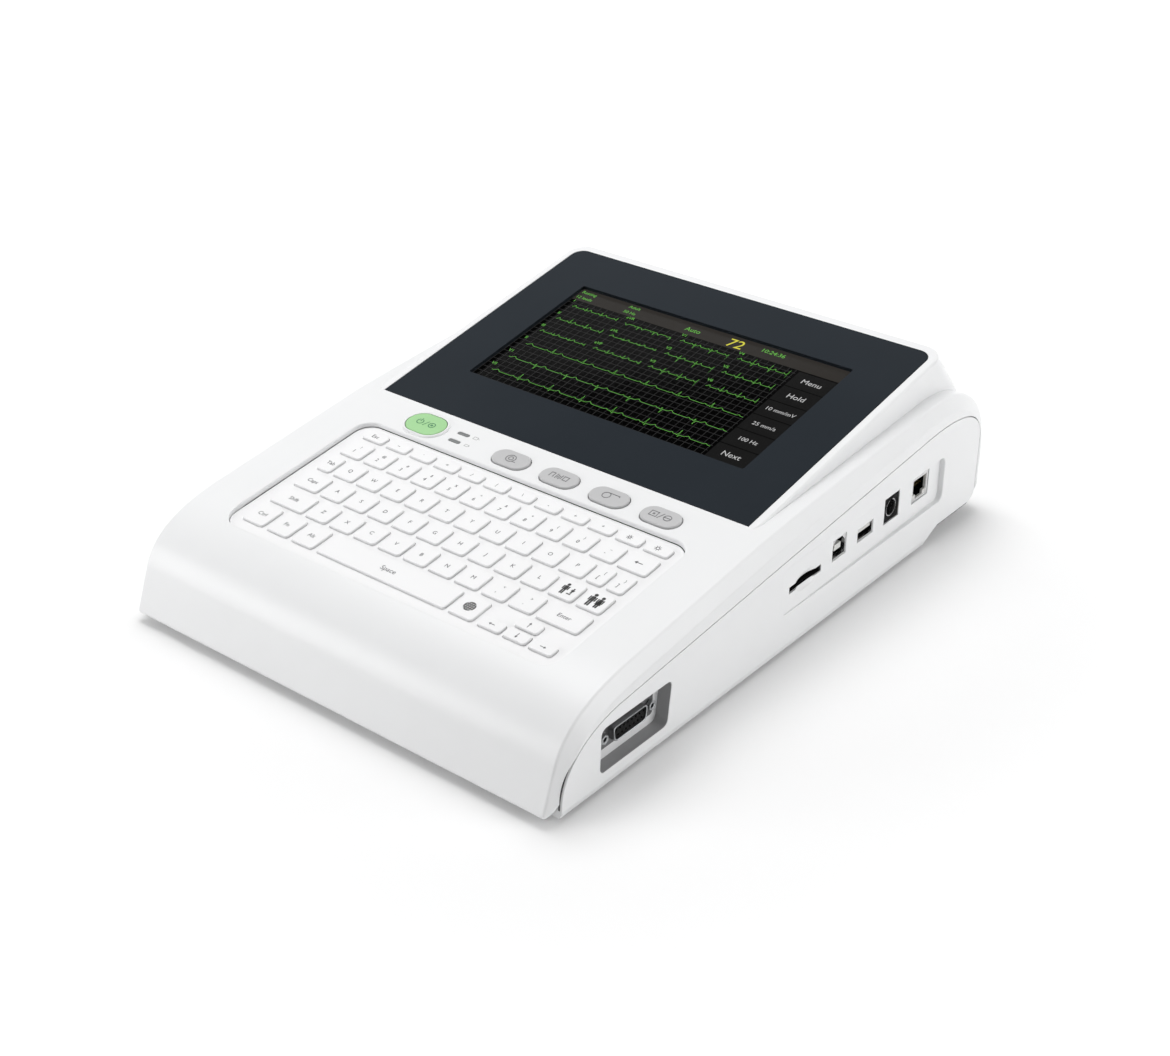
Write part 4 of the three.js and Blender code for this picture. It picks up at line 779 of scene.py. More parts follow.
    def bottom(self) -> Piece:
        """Builds the lower tub."""
        gap = self.seam_gap / 2
        rings = []
        for x, inset, rise in self.tub_edge:
            corners = self.tub_corners(self.floor_z + 3.5 * rise, self.rear_z + 1.2 * rise)
            rings.append((blended(corners, gap + inset), HALF - x))
        tub = self.across(rings)
        inside = blended(self.tub_corners(self.floor_z, self.rear_z), self.wall + gap)
        Bench.cut(tub, self.slab(inside, HALF - self.wall))
        hollow = Bench.cube((-HALF + 2.5, FRONT_Y - 5, self.floor_z + 10), (HALF - 2.5, REAR_Y + 5, 140))
        Bench.cut(tub, hollow)
        pad = Bench.prism(rounded(155.2, 30.9, 6.6, *PORT_PANEL, 6), HALF - 5.1, HALF - 1.25, ALONG_X)
        cup = Bench.prism(self.lead_points(2.0), HALF - 9.0, HALF - 1.25, ALONG_X)
        Bench.join(tub, pad, cup)
        for y in (4.0 - 0.4 - 5.5, 126.4):
            ear = Bench.cube((-HALF + 1.25, y, 10.7), (-HALF + 5.6, y + 5.5, 16.3))
            Bench.join(tub, ear)
        Bench.cut(tub, self.port_pocket(), self.lead_pocket())
        for w, h, y, z in SidePorts.openings():
            Bench.cut(tub, Bench.prism(rounded(w + 0.6, h + 0.6, 0.2, y, z, 2), HALF - 9.0, HALF, ALONG_X))
        Bench.cut(tub, SidePorts.scoop(0.0),
                  Bench.prism(LeadPort.shell_points(0.3), HALF - 14.0, HALF, ALONG_X))
        Bench.cut(tub, Bench.cube((-HALF - 1, 3.6, 10.3), (-HALF + 3.5, 126.4, 51.6)))
        Bench.cut(tub, Bench.rod(1.62, 0.2, 129.4, HINGE))
        latch = rounded(14.7, 5.3, 2.6, *LATCH, 6)
        Bench.cut(tub, Bench.prism(latch, -HALF - 1, -HALF + 3.5, ALONG_X))
        Bench.cut(tub, Bench.prism(rounded(104.6, 72.6, 6.0, *BATTERY_BAY), 2.6, 40.0))
        Bench.cut(tub, Bench.prism(rounded(112.6, 80.6, 6.0, *BATTERY_BAY), 1.0, 3.25))
        for _, x in FEET:
            for _, y in FEET_ENDS:
                Bench.cut(tub, Bench.prism(rounded(12.6, 18.6, 4.3, x, y), 1.0, 3.2))
        for i in range(5):
            y = -118.0 + (i - 2) * 4.32
            Bench.cut(tub, Bench.prism(rounded(26.6, 1.8, 0.9, -108.0, y, 5), 1.0, 5.5))
        tub.data.materials.append(Finish.HOUSING.make())
        # Painted shade: the walls of the lead connector's pocket take a dark grey for the shade inside it;
        # its floor stays white
        tub.data.materials.append(Finish.POCKET.make())
        for face in tub.data.polygons:
            c = face.center
            inside = HALF - 6.6 < c.x < HALF - 0.3 and -152.0 < c.y < -97.0 and 10.2 < c.z < 33.2
            face.material_index = int(inside and abs(face.normal.x) < 0.9)
        return Bench.done(tub, "lower_tub", Finish.HOUSING, *SHELL, ["bottom_housing"], angle=24)

    def seam_shade_strips(self) -> None:
        """Builds a dark strip in the parting line of both sides, a painted shade of the gap."""
        corners = self.tub_corners(self.floor_z, self.rear_z)
        outline = blended(corners, -0.14)
        for name, low, high in (("left", -HALF + 1.0, -HALF + 1.7), ("right", HALF - 1.7, HALF - 1.0)):
            loop = Bench.prism(outline, low, high, ALONG_X)
            Bench.cut(loop, self.slab(blended(corners, 0.14), HALF + 1.0),
                      Bench.cube((-HALF - 1, FRONT_Y - 5, -5), (HALF + 1, REAR_Y + 5, 6.5)))
            Bench.done(loop, f"seam_painted_shade_{name}", Finish.SEAM, *SHELL)

    def small_parts(self) -> None:
        """Builds the battery cover with its screws, and the feet."""
        cover = Bench.prism(rounded(112.0, 80.0, 6.0, *BATTERY_BAY), 2.0, 2.95)
        for x, y in LID_SCREWS:
            Bench.cut(cover, Bench.rod(2.6, 1.0, 2.5, Matrix.Translation((x, y, 0))))
        Bench.done(cover, "battery_lid", Finish.HOUSING, *SHELL, ["battery_cover"])
        for x, y in LID_SCREWS:
            screw = Bench.rod(2.4, 2.12, 2.48, Matrix.Translation((x, y, 0)), 24)
            for wide, deep in ((1.5, 0.25), (0.25, 1.5)):
                Bench.cut(screw, Bench.cube((x - wide, y - deep, 1.5), (x + wide, y + deep, 2.3)))
            side = "left" if x < 0 else "right"
            Bench.done(screw, f"lid_screw_{side}", Finish.STEEL, "housing", "steel")
        for side, x in FEET:
            for end, y in FEET_ENDS:
                rings = [(rounded(12 - 2 * g, 18 - 2 * g, 4 - g, x, y), z)
                         for g, z in ((0.45, 0.0), (0.2, 0.08), (0.05, 0.25), (0.0, 0.45), (0.0, 2.9))]
                foot = Bench.stack(rings)
                Bench.done(foot, f"rubber_foot_{side}_{end}", Finish.RUBBER, "housing", "foot_rubber",
                           [f"foot_{side}_{end}"])

    def build(self) -> None:
        """Builds every housing piece."""
        self.top()
        self.bottom()
        self.seam_shade_strips()
        self.small_parts()


@dataclass
class ButtonRow:
    """Power button, four grey buttons, their signs and the lamp windows."""

    rise: float = 1.2
    signs: float = 0.09

    @staticmethod
    def pill(w: float, d: float, grow: float, x: float, s: float) -> list[Point]:
        """Outline with round ends."""
        return rounded(w + 2 * grow, d + 2 * grow, d / 2 + grow, x, s, 12)

    def places(self) -> list[tuple[float, float, float, float]]:
        """Width, depth and place of each button: the power button, then the grey ones."""
        return [(23.5, 16.6, -73.4, 114.5)] + [(22.0, 12.6, x, 112.9) for x in (-14.4, 16.6, 47.6, 78.6)]

    def cap(self, w: float, d: float, x: float, s: float) -> Piece:
        """Domed button with its flange below the deck."""
        rings = [(self.pill(w, d, 1.2, x, s), -3.8), (self.pill(w, d, 1.2, x, s), -2.85),
                 (self.pill(w, d, 0.0, x, s), -2.75)]
        for i in range(5):
            t = math.pi / 2 * i / 4
            rings.append((self.pill(w, d, -0.8 * (1 - math.cos(t)), x, s),
                          self.rise - 0.75 + 0.6 * math.sin(t)))
        rings.append((self.pill(w, d, -2.6, x, s), self.rise - 0.04))
        rings.append((self.pill(w, d, -5.2, x, s), self.rise))
        return Bench.stack(rings, KEYS)

    def sign(self, index: int) -> Piece:
        """Plain sign of one button, drawn round its middle."""
        top = self.rise + self.signs
        low = self.rise - 0.12

        def ring(r: float, x: float, w: float = 0.45) -> Piece:
            """Thin ring."""
            return Bench.cut(Bench.rod(r, low, top, Matrix.Translation((x, 0, 0)), 36),
                             Bench.rod(r - w, low - 1, top + 1, Matrix.Translation((x, 0, 0)), 36))

        def bar(x0: float, x1: float, y0: float, y1: float) -> Piece:
            """Short stroke."""
            return Bench.cube((x0, y0, low), (x1, y1, top))

        slant = Matrix.Rotation(math.radians(-22), 4, "Z")
        if index == 0:
            power = Bench.cut(ring(2.1, -4.0), bar(-4.8, -3.2, 0.6, 3.0))
            slash = Bench.cube((-0.2, -2.3, low), (0.2, 2.3, top), slant)
            return Bench.merge(power, bar(-4.2, -3.8, 0.2, 2.8), slash, ring(2.1, 4.0),
                               Bench.rod(0.75, low, top, Matrix.Translation((4.0, 0, 0)), 20))
        if index == 1:
            return Bench.merge(ring(2.9, 0.0), ring(1.5, 0.0), bar(1.6, 4.2, -2.2, -1.8))
        if index == 2:
            pieces = [bar(-5.6, -5.2, -1.6, 1.9), bar(-5.2, -3.4, 1.5, 1.9), bar(-3.4, -3.0, -1.6, 1.9)]
            pieces += [bar(-1.8 + i, -1.35 + i, -1.9 + (i % 2) * 0.6, 1.9 - (i % 3) * 0.5) for i in range(4)]
            pieces += [bar(2.6, 5.6, 1.4, 1.8), bar(2.6, 5.6, -1.6, -1.2), bar(2.6, 3.0, -1.6, 1.8),
                       bar(5.2, 5.6, -1.6, 1.8)]
            return Bench.merge(*pieces)
        if index == 3:
            return Bench.merge(ring(2.4, -1.6), bar(-1.6, 5.2, 1.95, 2.4), bar(4.8, 5.2, 1.2, 2.4))
        pieces = [bar(-6.2, -1.8, 1.6, 2.0), bar(-6.2, -1.8, -2.0, -1.6), bar(-6.2, -5.8, -2.0, 2.0)]
        pieces += [bar(-2.2, -1.8, -2.0, 2.0), bar(-4.6, -3.4, -0.6, 0.6)]
        pieces.append(Bench.cube((-0.2, -2.4, low), (0.2, 2.4, top), slant))
        pieces += [ring(2.2, 3.9), bar(2.2, 5.6, -0.25, 0.2)]
        return Bench.merge(*pieces)

    def build(self) -> None:
        """Builds the buttons, signs and lamp windows."""
        for index, (w, d, x, s) in enumerate(self.places()):
            body = "power_button" if index == 0 else f"function_button_{index}"
            finish, slot = (Finish.GREEN, "power_green") if index == 0 else (Finish.GREY, "button_grey")
            Bench.done(self.cap(w, d, x, s), f"{body}_cap", finish, body, slot, [body], angle=40)
            sign = self.sign(index)
            ink = Finish.GREEN_SIGN if index == 0 else Finish.SIGN
            lift = KEYS @ Matrix.Translation((x, s, 0.0))
            Bench.done(sign, f"{body}_sign", ink, body, slot, place=lift)
        lamps = [Bench.stack([(rounded(7.2, 2.0, 1.0, -50.9, s, 6), -3.2),
                              (rounded(7.2, 2.0, 1.0, -50.9, s, 6), -0.15),
                              (rounded(6.9, 1.7, 0.85, -50.9, s, 6), 0.0)]) for s in (111.0, 118.2)]
        lamps.append(Bench.cube((-55.7, 108.8, -4.0), (-46.1, 120.4, -2.8)))
        Bench.done(Bench.merge(*lamps), "lamp_windows", Finish.LAMP, "housing", "lamp_grey",
                   ["indicator_light_pipe"], place=KEYS)
        plug = [Bench.cube((-44.4, 117.4, -0.1), (-41.6, 119.6, 0.05)),
                Bench.cube((-44.0, 110.2, -0.1), (-41.4, 112.0, 0.05))]
        for mark, tool in zip(plug, ((-44.1, 117.7, -41.9, 119.3), (-43.7, 110.5, -41.7, 111.7))):
            Bench.cut(mark, Bench.cube((tool[0], tool[1], -1), (tool[2], tool[3], 1)))
        plug.append(Bench.cube((-41.4, 110.8, -0.1), (-40.9, 111.4, 0.05)))
        plug.append(Bench.cube((-41.6, 118.3, -0.1), (-40.4, 118.6, 0.05)))
        Bench.done(Bench.merge(*plug), "lamp_signs", Finish.FAINT_SIGN, "housing", "button_grey", place=KEYS)


class Legend(Enum):
    """Signs drawn on keys that carry no letters."""

    GLOBE = "globe"
    CHILD = "child"
    ADULT = "adult"
    LEFT = "left"
    RIGHT = "right"
    UP = "up"
    DOWN = "down"
    DIM = "dim"
    BRIGHT = "bright"


# Where the ink of a legend begins and ends, from the face that it is printed on
INK_LOW, INK_TOP = -0.05, 0.06


@dataclass
class Key:
    """One key of the keyboard: its node, middle, size and legend."""

    node: Optional[str]
    x: float
    s: float
    w: float
    d: float
    legend: "str | Legend" = ""
    upper: str = ""


@dataclass
class KeyField:
    """Silicone mat with its moulded character keys, and the nineteen pressing keys."""

    gap: float = 2.57
    width: float = 13.7
    depth: float = 12.8
    left: float = -97.1
    right: float = 98.3
    front: float = 6.85
    front_depth: float = 14.9
    row: float = 16.4
    second: float = 25.0
    top_depth: float = 6.8
    mat_top: float = -2.6
    mat_base: float = -4.2
    crown: float = -1.3
    corner: float = 1.55
    keys: list[Key] = field(default_factory=list)

    def lay_out(self) -> None:
        """Places the sixty-nine keys row by row, from the front."""
        pitch = self.width + self.gap

        def key(
            node: Optional[str], x: float, w: float, s: float, d: float, legend: "str | Legend",
            upper: str = ""
        ) -> None:
            """Adds one key by its left and front edges."""
            self.keys.append(Key(node, x + w / 2, s + d / 2, w, d, legend, upper))

        def run(x: float, w: float, step: float, s: float, d: float, legends: Sequence[str]) -> None:
            """Adds a run of character keys."""
            for i, legend in enumerate(legends):
                key(None, x + i * step, w, s, d, legend[0], legend[1:])

        for i, name in enumerate(("ctrl", "fn", "alt")):
            key(f"{name}_key", self.left + i * 17.0, 14.1, self.front, self.front_depth, name.capitalize())
        key("space_key", self.left + 51.0, 81.8, self.front, self.front_depth, "Space")
        globe = self.left + 51.0 + 81.8 + self.gap
        key("language_key", globe, 14.2, self.front, self.front_depth, Legend.GLOBE)
        arrows = self.right - 2 * 14.8 - 13.0
        key("left_key", arrows, 13.0, self.front, 6.5, Legend.LEFT)
        key("down_key", arrows + 14.8, 13.0, self.front, 6.5, Legend.DOWN)
        key("up_key", arrows + 14.8, 13.0, self.front + 8.4, 6.5, Legend.UP)
        key("right_key", arrows + 29.6, 13.0, self.front, 6.5, Legend.RIGHT)
        s = self.second
        key("shift_key", self.left, 22.5, s, self.depth, "Shift")
        start = self.left + 22.5 + self.gap
        run(start, self.width, pitch, s, self.depth, ("Z", "X", "C", "V", "B", "N", "M", ",<", ".>"))
        enter = start + 9 * pitch
        key("enter_key", enter, self.right - enter, s, self.depth, "Enter")
        s += self.row
        key("caps_key", self.left, 15.9, s, self.depth, "Caps")
        start = self.left + 15.9 + self.gap
        run(start, self.width, pitch, s, self.depth, tuple("ASDFGHJKL"))
        key("child_key", start + 9 * pitch, self.width, s, self.depth, Legend.CHILD)
        key("adult_key", start + 10 * pitch, self.width, s, self.depth, Legend.ADULT)
        s += self.row
        key("tab_key", self.left, 8.6, s, self.depth, "Tab")
        start = self.left + 8.6 + self.gap
        run(start, self.width, pitch, s, self.depth, tuple("QWERTYUIOP"))
        run(start + 10 * pitch, 9.0, 9.0 + self.gap, s, self.depth, ("[{", "]}"))
        s += self.row
        run(self.left, self.width, pitch, s, self.depth,
            ("1!", "2@", "3#", "4$", "5%", "6^", "7&", "8*", "9(", "0)", "-_"))
        start = self.left + 11 * pitch
        key("backspace_key", start, self.right - start, s, self.depth, Legend.LEFT)
        s += self.row
        step = (self.right - self.left + self.gap) / 12
        names = ["escape_key"] + [None] * 9 + ["dimmer_key", "brighter_key"]
        marks = ["Esc", "~", "`", "=", "/", "|", "\\", "-", "+", "*", Legend.DIM, Legend.BRIGHT]
        for i, (name, mark) in enumerate(zip(names, marks)):
            key(name, self.left + i * step, step - self.gap, s, self.top_depth, mark)

    def cap(self, w: float, d: float, base: float) -> Piece:
        """Models one key cap round the origin, up to the crown.

        Args:
            w: Width.
            d: Depth.
            base: Height of its foot.

        Returns:
            The cap.
        """
        piece = Bench.cube((-w / 2, -d / 2, base), (w / 2, d / 2, self.crown))
        Bench.edges(piece, lambda a, b: abs(a.z - b.z) > 0.5, self.corner, 6)
        top = self.crown
        Bench.edges(piece, lambda a, b: a.z > top - 0.01 and b.z > top - 0.01, 0.42, 4)
        return piece

    def hole(self, key: Key) -> Piece:
        """Opening in the mat round a key, a hair wider than the key."""
        slack = 0.3
        points = rounded(key.w + 2 * slack, key.d + 2 * slack, self.corner + slack, key.x, key.s, 5)
        return Bench.prism(points, self.mat_base - 1, self.mat_top + 1)

    def mat(self) -> Piece:
        """Builds the mat, open round every key, and its fixed caps on a thin web."""
        shells = HousingShells()
        rings = [(shells.recess_points(0.0), self.mat_base), (shells.recess_points(0.0), self.mat_top - 0.3),
                 (shells.recess_points(-0.09), self.mat_top - 0.09),
                 (shells.recess_points(-0.3), self.mat_top)]
        mat = Bench.stack(rings)
        holes = Bench.merge(*[self.hole(key) for key in self.keys])
        Bench.cut(mat, holes)
        web = Bench.prism(shells.recess_points(-0.4), self.mat_base, self.mat_base + 0.5)
        loose = Bench.merge(*[self.hole(key) for key in self.keys if key.node])
        Bench.cut(web, loose)
        parts = [mat, web]
        first: dict[Point, Piece] = {}
        for key in self.keys:
            if key.node:
                continue
            size = (round(key.w, 2), round(key.d, 2))
            if size not in first:
                first[size] = self.cap(key.w, key.d, self.mat_base + 0.3)
            parts.append(Bench.twin(first[size], Matrix.Translation((key.x, key.s, 0))))
        for pattern in first.values():
            bpy.data.objects.remove(pattern)
        return Bench.done(Bench.merge(*parts), "keypad_mat", Finish.KEY, "housing", "key_white",
                          ["keypad_membrane"], place=KEYS, angle=40)

    def arrow(self, turn: float, long: float = 3.4, wide: float = 0.3) -> Piece:
        """Thin arrow that points along +x before it is turned."""
        low, top = INK_LOW, INK_TOP
        shaft = Bench.cube((-long / 2, -wide / 2, low), (long / 2 - 0.8, wide / 2, top))
        head = Bench.prism([(long / 2 - 1.1, -0.75), (long / 2, 0.0), (long / 2 - 1.1, 0.75)], low, top)
        both = Bench.merge(shaft, head)
        both.data.transform(Matrix.Rotation(turn, 4, "Z"))
        return both

    def person(self, x: float, scale: float, skirt: bool) -> Piece:
        """Plain figure with a round head, as on a door sign."""
        low, top = INK_LOW, INK_TOP
        parts = [Bench.rod(0.85, low, top, Matrix.Translation((0, 3.1, 0)), 24)]
        parts.append(Bench.prism(rounded(2.0, 3.0, 0.6, 0, 0.6, 3), low, top))
        if skirt:
            parts.append(Bench.prism([(-1.6, -1.9), (1.6, -1.9), (0.7, 0.8), (-0.7, 0.8)], low, top))
        for side in (-0.52, 0.52):
            parts.append(Bench.prism(rounded(0.8, 3.6, 0.3, side, -2.2, 3), low, top))
        for side in (-1.45, 1.45):
            parts.append(Bench.prism(rounded(0.55, 2.7, 0.25, side, 0.6, 3), low, top))
        figure = Bench.merge(*parts)
        figure.data.transform(Matrix.Translation((x, 0, 0)) @ Matrix.Scale(scale, 4))
        return figure

    def drawn(self, sign: Legend) -> Piece:
        """Draws a legend that isn't a letter."""
        low, top = INK_LOW, INK_TOP
        turns = {Legend.RIGHT: 0.0, Legend.UP: math.pi / 2, Legend.LEFT: math.pi, Legend.DOWN: -math.pi / 2}
        if sign in turns:
            return self.arrow(turns[sign])
        if sign is Legend.GLOBE:
            disc = Bench.rod(3.1, low, top, sides=48)
            tools = []
            for x in (-1.95, -0.65, 0.65, 1.95):
                for y in (-1.95, -0.65, 0.65, 1.95):
                    tools.append(Bench.cube((x - 0.36, y - 0.36, -1), (x + 0.36, y + 0.36, 1)))
            return Bench.cut(disc, Bench.merge(*tools))
        if sign is Legend.CHILD:
            seat = Bench.prism(rounded(2.4, 0.6, 0.25, 2.6, -2.6, 3), low, top)
            small = self.person(3.1, 0.5, False)
            return Bench.merge(self.person(-1.2, 1.0, False), small, seat)
        if sign is Legend.ADULT:
            return Bench.merge(self.person(-2.1, 1.15, False), self.person(2.3, 1.05, True))
        size = 1.0 if sign is Legend.DIM else 1.15
        disc = Bench.cut(Bench.rod(size, low, top, sides=24), Bench.rod(size - 0.4, -1, 1, sides=24))
        rays = []
        for i in range(8):
            turn = Matrix.Rotation(math.tau * i / 8, 4, "Z")
            rays.append(Bench.cube((size + 0.25, -0.11, low), (size + 0.75, 0.11, top), turn))
        return Bench.merge(disc, *rays)

    def legend(self, key: Key) -> Piece:
        """Prints a key's legend at its place on the crown."""
        if isinstance(key.legend, Legend):
            ink = self.drawn(key.legend)
            if key.legend in (Legend.DIM, Legend.BRIGHT):
                ink.data.transform(Matrix.Translation((-0.6, 0.3, 0)))
            if key.legend is Legend.LEFT and key.d > 10:
                ink.data.transform(Matrix.Scale(1.35, 4))
        elif len(key.legend) > 1:
            ink = Bench.words(key.legend, 4.1 if key.legend == "Space" else 3.5)
        else:
            ink = Bench.words(key.legend, 3.3 if key.d > 10 else 3.0)
            if key.upper:
                ink.data.transform(Matrix.Translation((-0.5, -1.9, 0)))
                upper = Bench.words(key.upper, 2.4)
                upper.data.transform(Matrix.Translation((0.9, 2.0, 0)))
                ink = Bench.merge(ink, upper)
        ink.data.transform(Matrix.Translation((key.x, key.s, self.crown + 0.02)))
        return ink

    def build(self) -> None:
        """Builds the mat, the keys and every legend."""
        self.lay_out()
        self.mat()
        printed = []
        solid = (Legend.GLOBE, Legend.CHILD, Legend.ADULT)
        for key in self.keys:
            ink = self.legend(key)
            if not key.node:
                printed.append(ink)
                continue
            cap = self.cap(key.w, key.d, self.mat_base - 1.1)
            cap.data.transform(Matrix.Translation((key.x, key.s, 0)))
            flange = Bench.prism(rounded(key.w + 1.3, key.d + 1.3, 2.1, key.x, key.s, 5), -5.3, -4.5)
            Bench.done(Bench.merge(cap, flange), f"{key.node}_cap", Finish.KEY, key.node, "key_white",
                       [key.node], place=KEYS, angle=40)
            tone = Finish.BLACK_INK if key.legend in solid else Finish.INK
            Bench.done(ink, f"{key.node}_legend", tone, key.node, "key_white", place=KEYS)
        Bench.done(Bench.merge(*printed), "character_legends", Finish.INK, "housing", "key_white", place=KEYS)


@dataclass
class ScreenUnit:
    """Dark lens with its clear window, and the display behind it."""

    left: float = -88.3
    right: float = 89.3
    low: float = 35.4
    high: float = 133.9
    thick: float = 2.0
    plane: float = -2.28
    shift: Point = (-1.0, 1.24)
    layer: float = 0.035
    line: float = 0.18
    row: float = 14.2
    # Name, height and depth of the main beat of each lead, column by column
    LEADS: ClassVar[tuple[tuple[str, float, float], ...]] = (
        ("I", 2.2, 0.4), ("II", 3.4, 0.5), ("III", 1.2, 0.6),
        ("aVR", -3.0, 0.3), ("aVL", 1.2, 0.5), ("aVF", 2.3, 0.5),
        ("V1", 1.2, 3.2), ("V2", 2.4, 4.2), ("V3", 3.2, 3.4),
        ("V4", 4.4, 2.8), ("V5", 4.4, 1.4), ("V6", 3.6, 0.8))

    def lens(self) -> None:
        """Builds the lens in one piece: a dark border and a clear window."""
        shells = HousingShells()
        top = [(shells.lens_points(-0.25), 0.0), (shells.lens_points(-0.07), -0.07),
               (shells.lens_points(0.0), -0.25)]
        border = Bench.stack([(shells.lens_points(0.0), -self.thick), *reversed(top)])
        w, d = self.right - self.left, self.high - self.low
        x, s = (self.left + self.right) / 2, (self.low + self.high) / 2
        Bench.cut(border, Bench.prism(rounded(w, d, 1.2, x, s), -3.0, 1.0))
        border.data.materials.append(Finish.LENS.make())
        window = Bench.prism(rounded(w - 0.02, d - 0.02, 1.2, x, s), -self.thick, -0.01)
        window.data.materials.append(Finish.WINDOW.make())
        Bench.done(Bench.merge(border, window), "screen_glass", Finish.LENS, "housing", "lens_dark",
                   ["screen_lens"], place=LENS)

    def strip(self, x0: float, x1: float, s0: float, s1: float) -> Piece:
        """Thin rectangle on the display, in its own coordinates."""
        dx, ds = self.shift
        low = self.plane - 0.04 + self.layer
        return Bench.cube((x0 + dx, s0 + ds, low), (x1 + dx, s1 + ds, low + 0.03))

    def label(self, text: str, size: float, x: float, s: float, left: bool = False) -> Piece:
        """Thin word on the display."""
        piece = Bench.words(text, size, 0.012)
        if left:
            low = min(v.co.x for v in piece.data.vertices)
            piece.data.transform(Matrix.Translation((-low, 0, 0)))
        dx, ds = self.shift
        piece.data.transform(Matrix.Translation((x + dx, s + ds, self.plane - 0.03 + 3 * self.layer)))
        return piece

    def show(self, pieces: Sequence[Piece], name: str, finish: Finish) -> None:
        """Finishes what one colour draws on the display."""
        Bench.done(Bench.merge(*pieces), name, finish, "housing", "lcd_black", place=LENS, angle=10)

    def beat(self, t: float, kind: int) -> float:
        """Height of one heartbeat at t, which runs from 0 to 1.

        Args:
            t: Share of the beat.
            kind: Number of the lead, which changes the shape.

        Returns:
            Height in millimetres.
        """
        tall, deep = self.LEADS[kind][1:]
        side = -1.0 if tall < 0 else 1.0

        def hump(middle: float, width: float, size: float) -> float:
            """Smooth bump."""
            return size * math.exp(-((t - middle) / width) ** 2)

        p, late = hump(0.2, 0.035, 0.75 * side), hump(0.66, 0.06, 1.45 * side)
        q = -hump(0.362, 0.01, 0.5)
        r = hump(0.39, 0.013, tall)
        low = -hump(0.42, 0.013, deep)
        return p + q + r + low + late

    def trace(self, x0: float, x1: float, s: float, kind: int, beat: float) -> Piece:
        """One lead's running line, extruded along its path.

        Args:
            x0: Left end.
            x1: Right end.
            s: Base line.
            kind: Number of the lead.
            beat: Length of one heartbeat.

        Returns:
            The line.
        """
        half, steps = 0.13, round((x1 - x0) * 6)
        step = (x1 - x0) / steps
        heights = [self.beat((i * step / beat + 0.5) % 1.0, kind) for i in range(steps + 1)]
        Bench.clear()
        bpy.ops.mesh.primitive_grid_add(x_subdivisions=steps, y_subdivisions=1, size=2.0)
        line = bpy.context.object
        bpy.ops.object.mode_set(mode="EDIT")
        bpy.ops.mesh.select_all(action="SELECT")
        bpy.ops.mesh.extrude_region_move(TRANSFORM_OT_translate={"value": (0, 0, 1)})
        bpy.ops.mesh.select_all(action="SELECT")
        bpy.ops.mesh.normals_make_consistent(inside=False)
        bpy.ops.object.mode_set(mode="OBJECT")
        dx, ds = self.shift
        low = self.plane + 0.03
        for v in line.data.vertices:
            i = round((v.co.x + 1) / 2 * steps)
            rise = (heights[min(i + 1, steps)] - heights[max(i - 1, 0)]) / (2 * step)
            thick = min(half * math.hypot(1.0, rise), 0.9)
            side = thick if v.co.y > 0 else -thick
            v.co = (x0 + i * step + dx, s + heights[i] + side + ds, low + 0.03 * round(v.co.z))
        return line

    def content(self) -> None:
        """Draws the grid, the traces, the status bar and the menu column."""
        grid_low, grid_high, grid_right = 35.4, 121.2, 64.2
        lines = []
        pitch = 4.3
        for i in range(int((grid_right - self.left) / pitch) + 2):
            x = self.left + 0.9 + i * pitch
            if x < grid_right:
                lines.append(self.strip(x - self.line, x + self.line, grid_low, grid_high))
        for i in range(int((grid_high - grid_low) / pitch) + 1):
            s = grid_low + 1.2 + i * pitch
            lines.append(self.strip(self.left + 0.4, grid_right, s - self.line, s + self.line))
        self.show(lines, "display_grid", Finish.GRID)
        traces, names = [], []
        for kind, (lead, _, _) in enumerate(self.LEADS):
            column, row = divmod(kind, 3)
            x, s = self.left + 6.2 + column * 37.3, 115.3 - row * self.row
            traces.append(self.trace(x, x + 31.5, s, kind, 10.8))
            names.append(self.label(lead, 3.2, x - 2.6, s + 5.2, left=True))
        for row, kind in enumerate((1, 6, 10)):
            x, s = self.left + 8.0, 72.7 - row * self.row
            traces.append(self.trace(x, grid_right - 1.0, s, kind, 21.0))
            names.append(self.label(self.LEADS[kind][0], 3.2, x - 4.4, s + 5.2, left=True))
        self.show(traces, "display_traces", Finish.TRACE)
        bar = [self.strip(self.left + 0.4, self.right - 0.4, 121.6, self.high - 0.5)]
        self.show(bar, "display_bar", Finish.BAR)
        cells = [self.strip(65.2, self.right - 0.4, 36.0 + i * self.row, 36.0 + i * self.row + 13.6)
                 for i in range(6)]
        self.show(cells, "display_cells", Finish.CELLS)
        menu = (("Menu", 5.4), ("Hold", 5.4), ("10 mm/mV", 4.0),
                ("25 mm/s", 4.0), ("100 Hz", 4.0), ("Next", 5.4))
        words = [self.label(word, size, 77.0, 36.0 + (5 - i) * self.row + 6.8)
                 for i, (word, size) in enumerate(menu)]
        self.show(words, "display_words", Finish.WHITE)
        status = (("Resting", 3.4, -86.0, 130.0), ("12 leads", 3.4, -86.0, 124.8),
                  ("Adult", 3.4, -53.0, 130.0), ("50 Hz", 3.4, -53.0, 124.8),
                  ("Auto", 4.8, -12.0, 126.6), ("10:24:36", 4.4, 37.0, 128.4))
        for word, size, x, s in status:
            names.append(self.label(word, size, x, s, left=True))
        self.show(names, "display_leads", Finish.TRACE)
        self.show([self.label("72", 10.5, 21.0, 126.2)], "display_rate", Finish.YELLOW)

    def build(self) -> None:
        """Builds the lens and what shows through it."""
        self.lens()
        Bench.dress("lcd_module", Finish.DISPLAY)
        self.content()


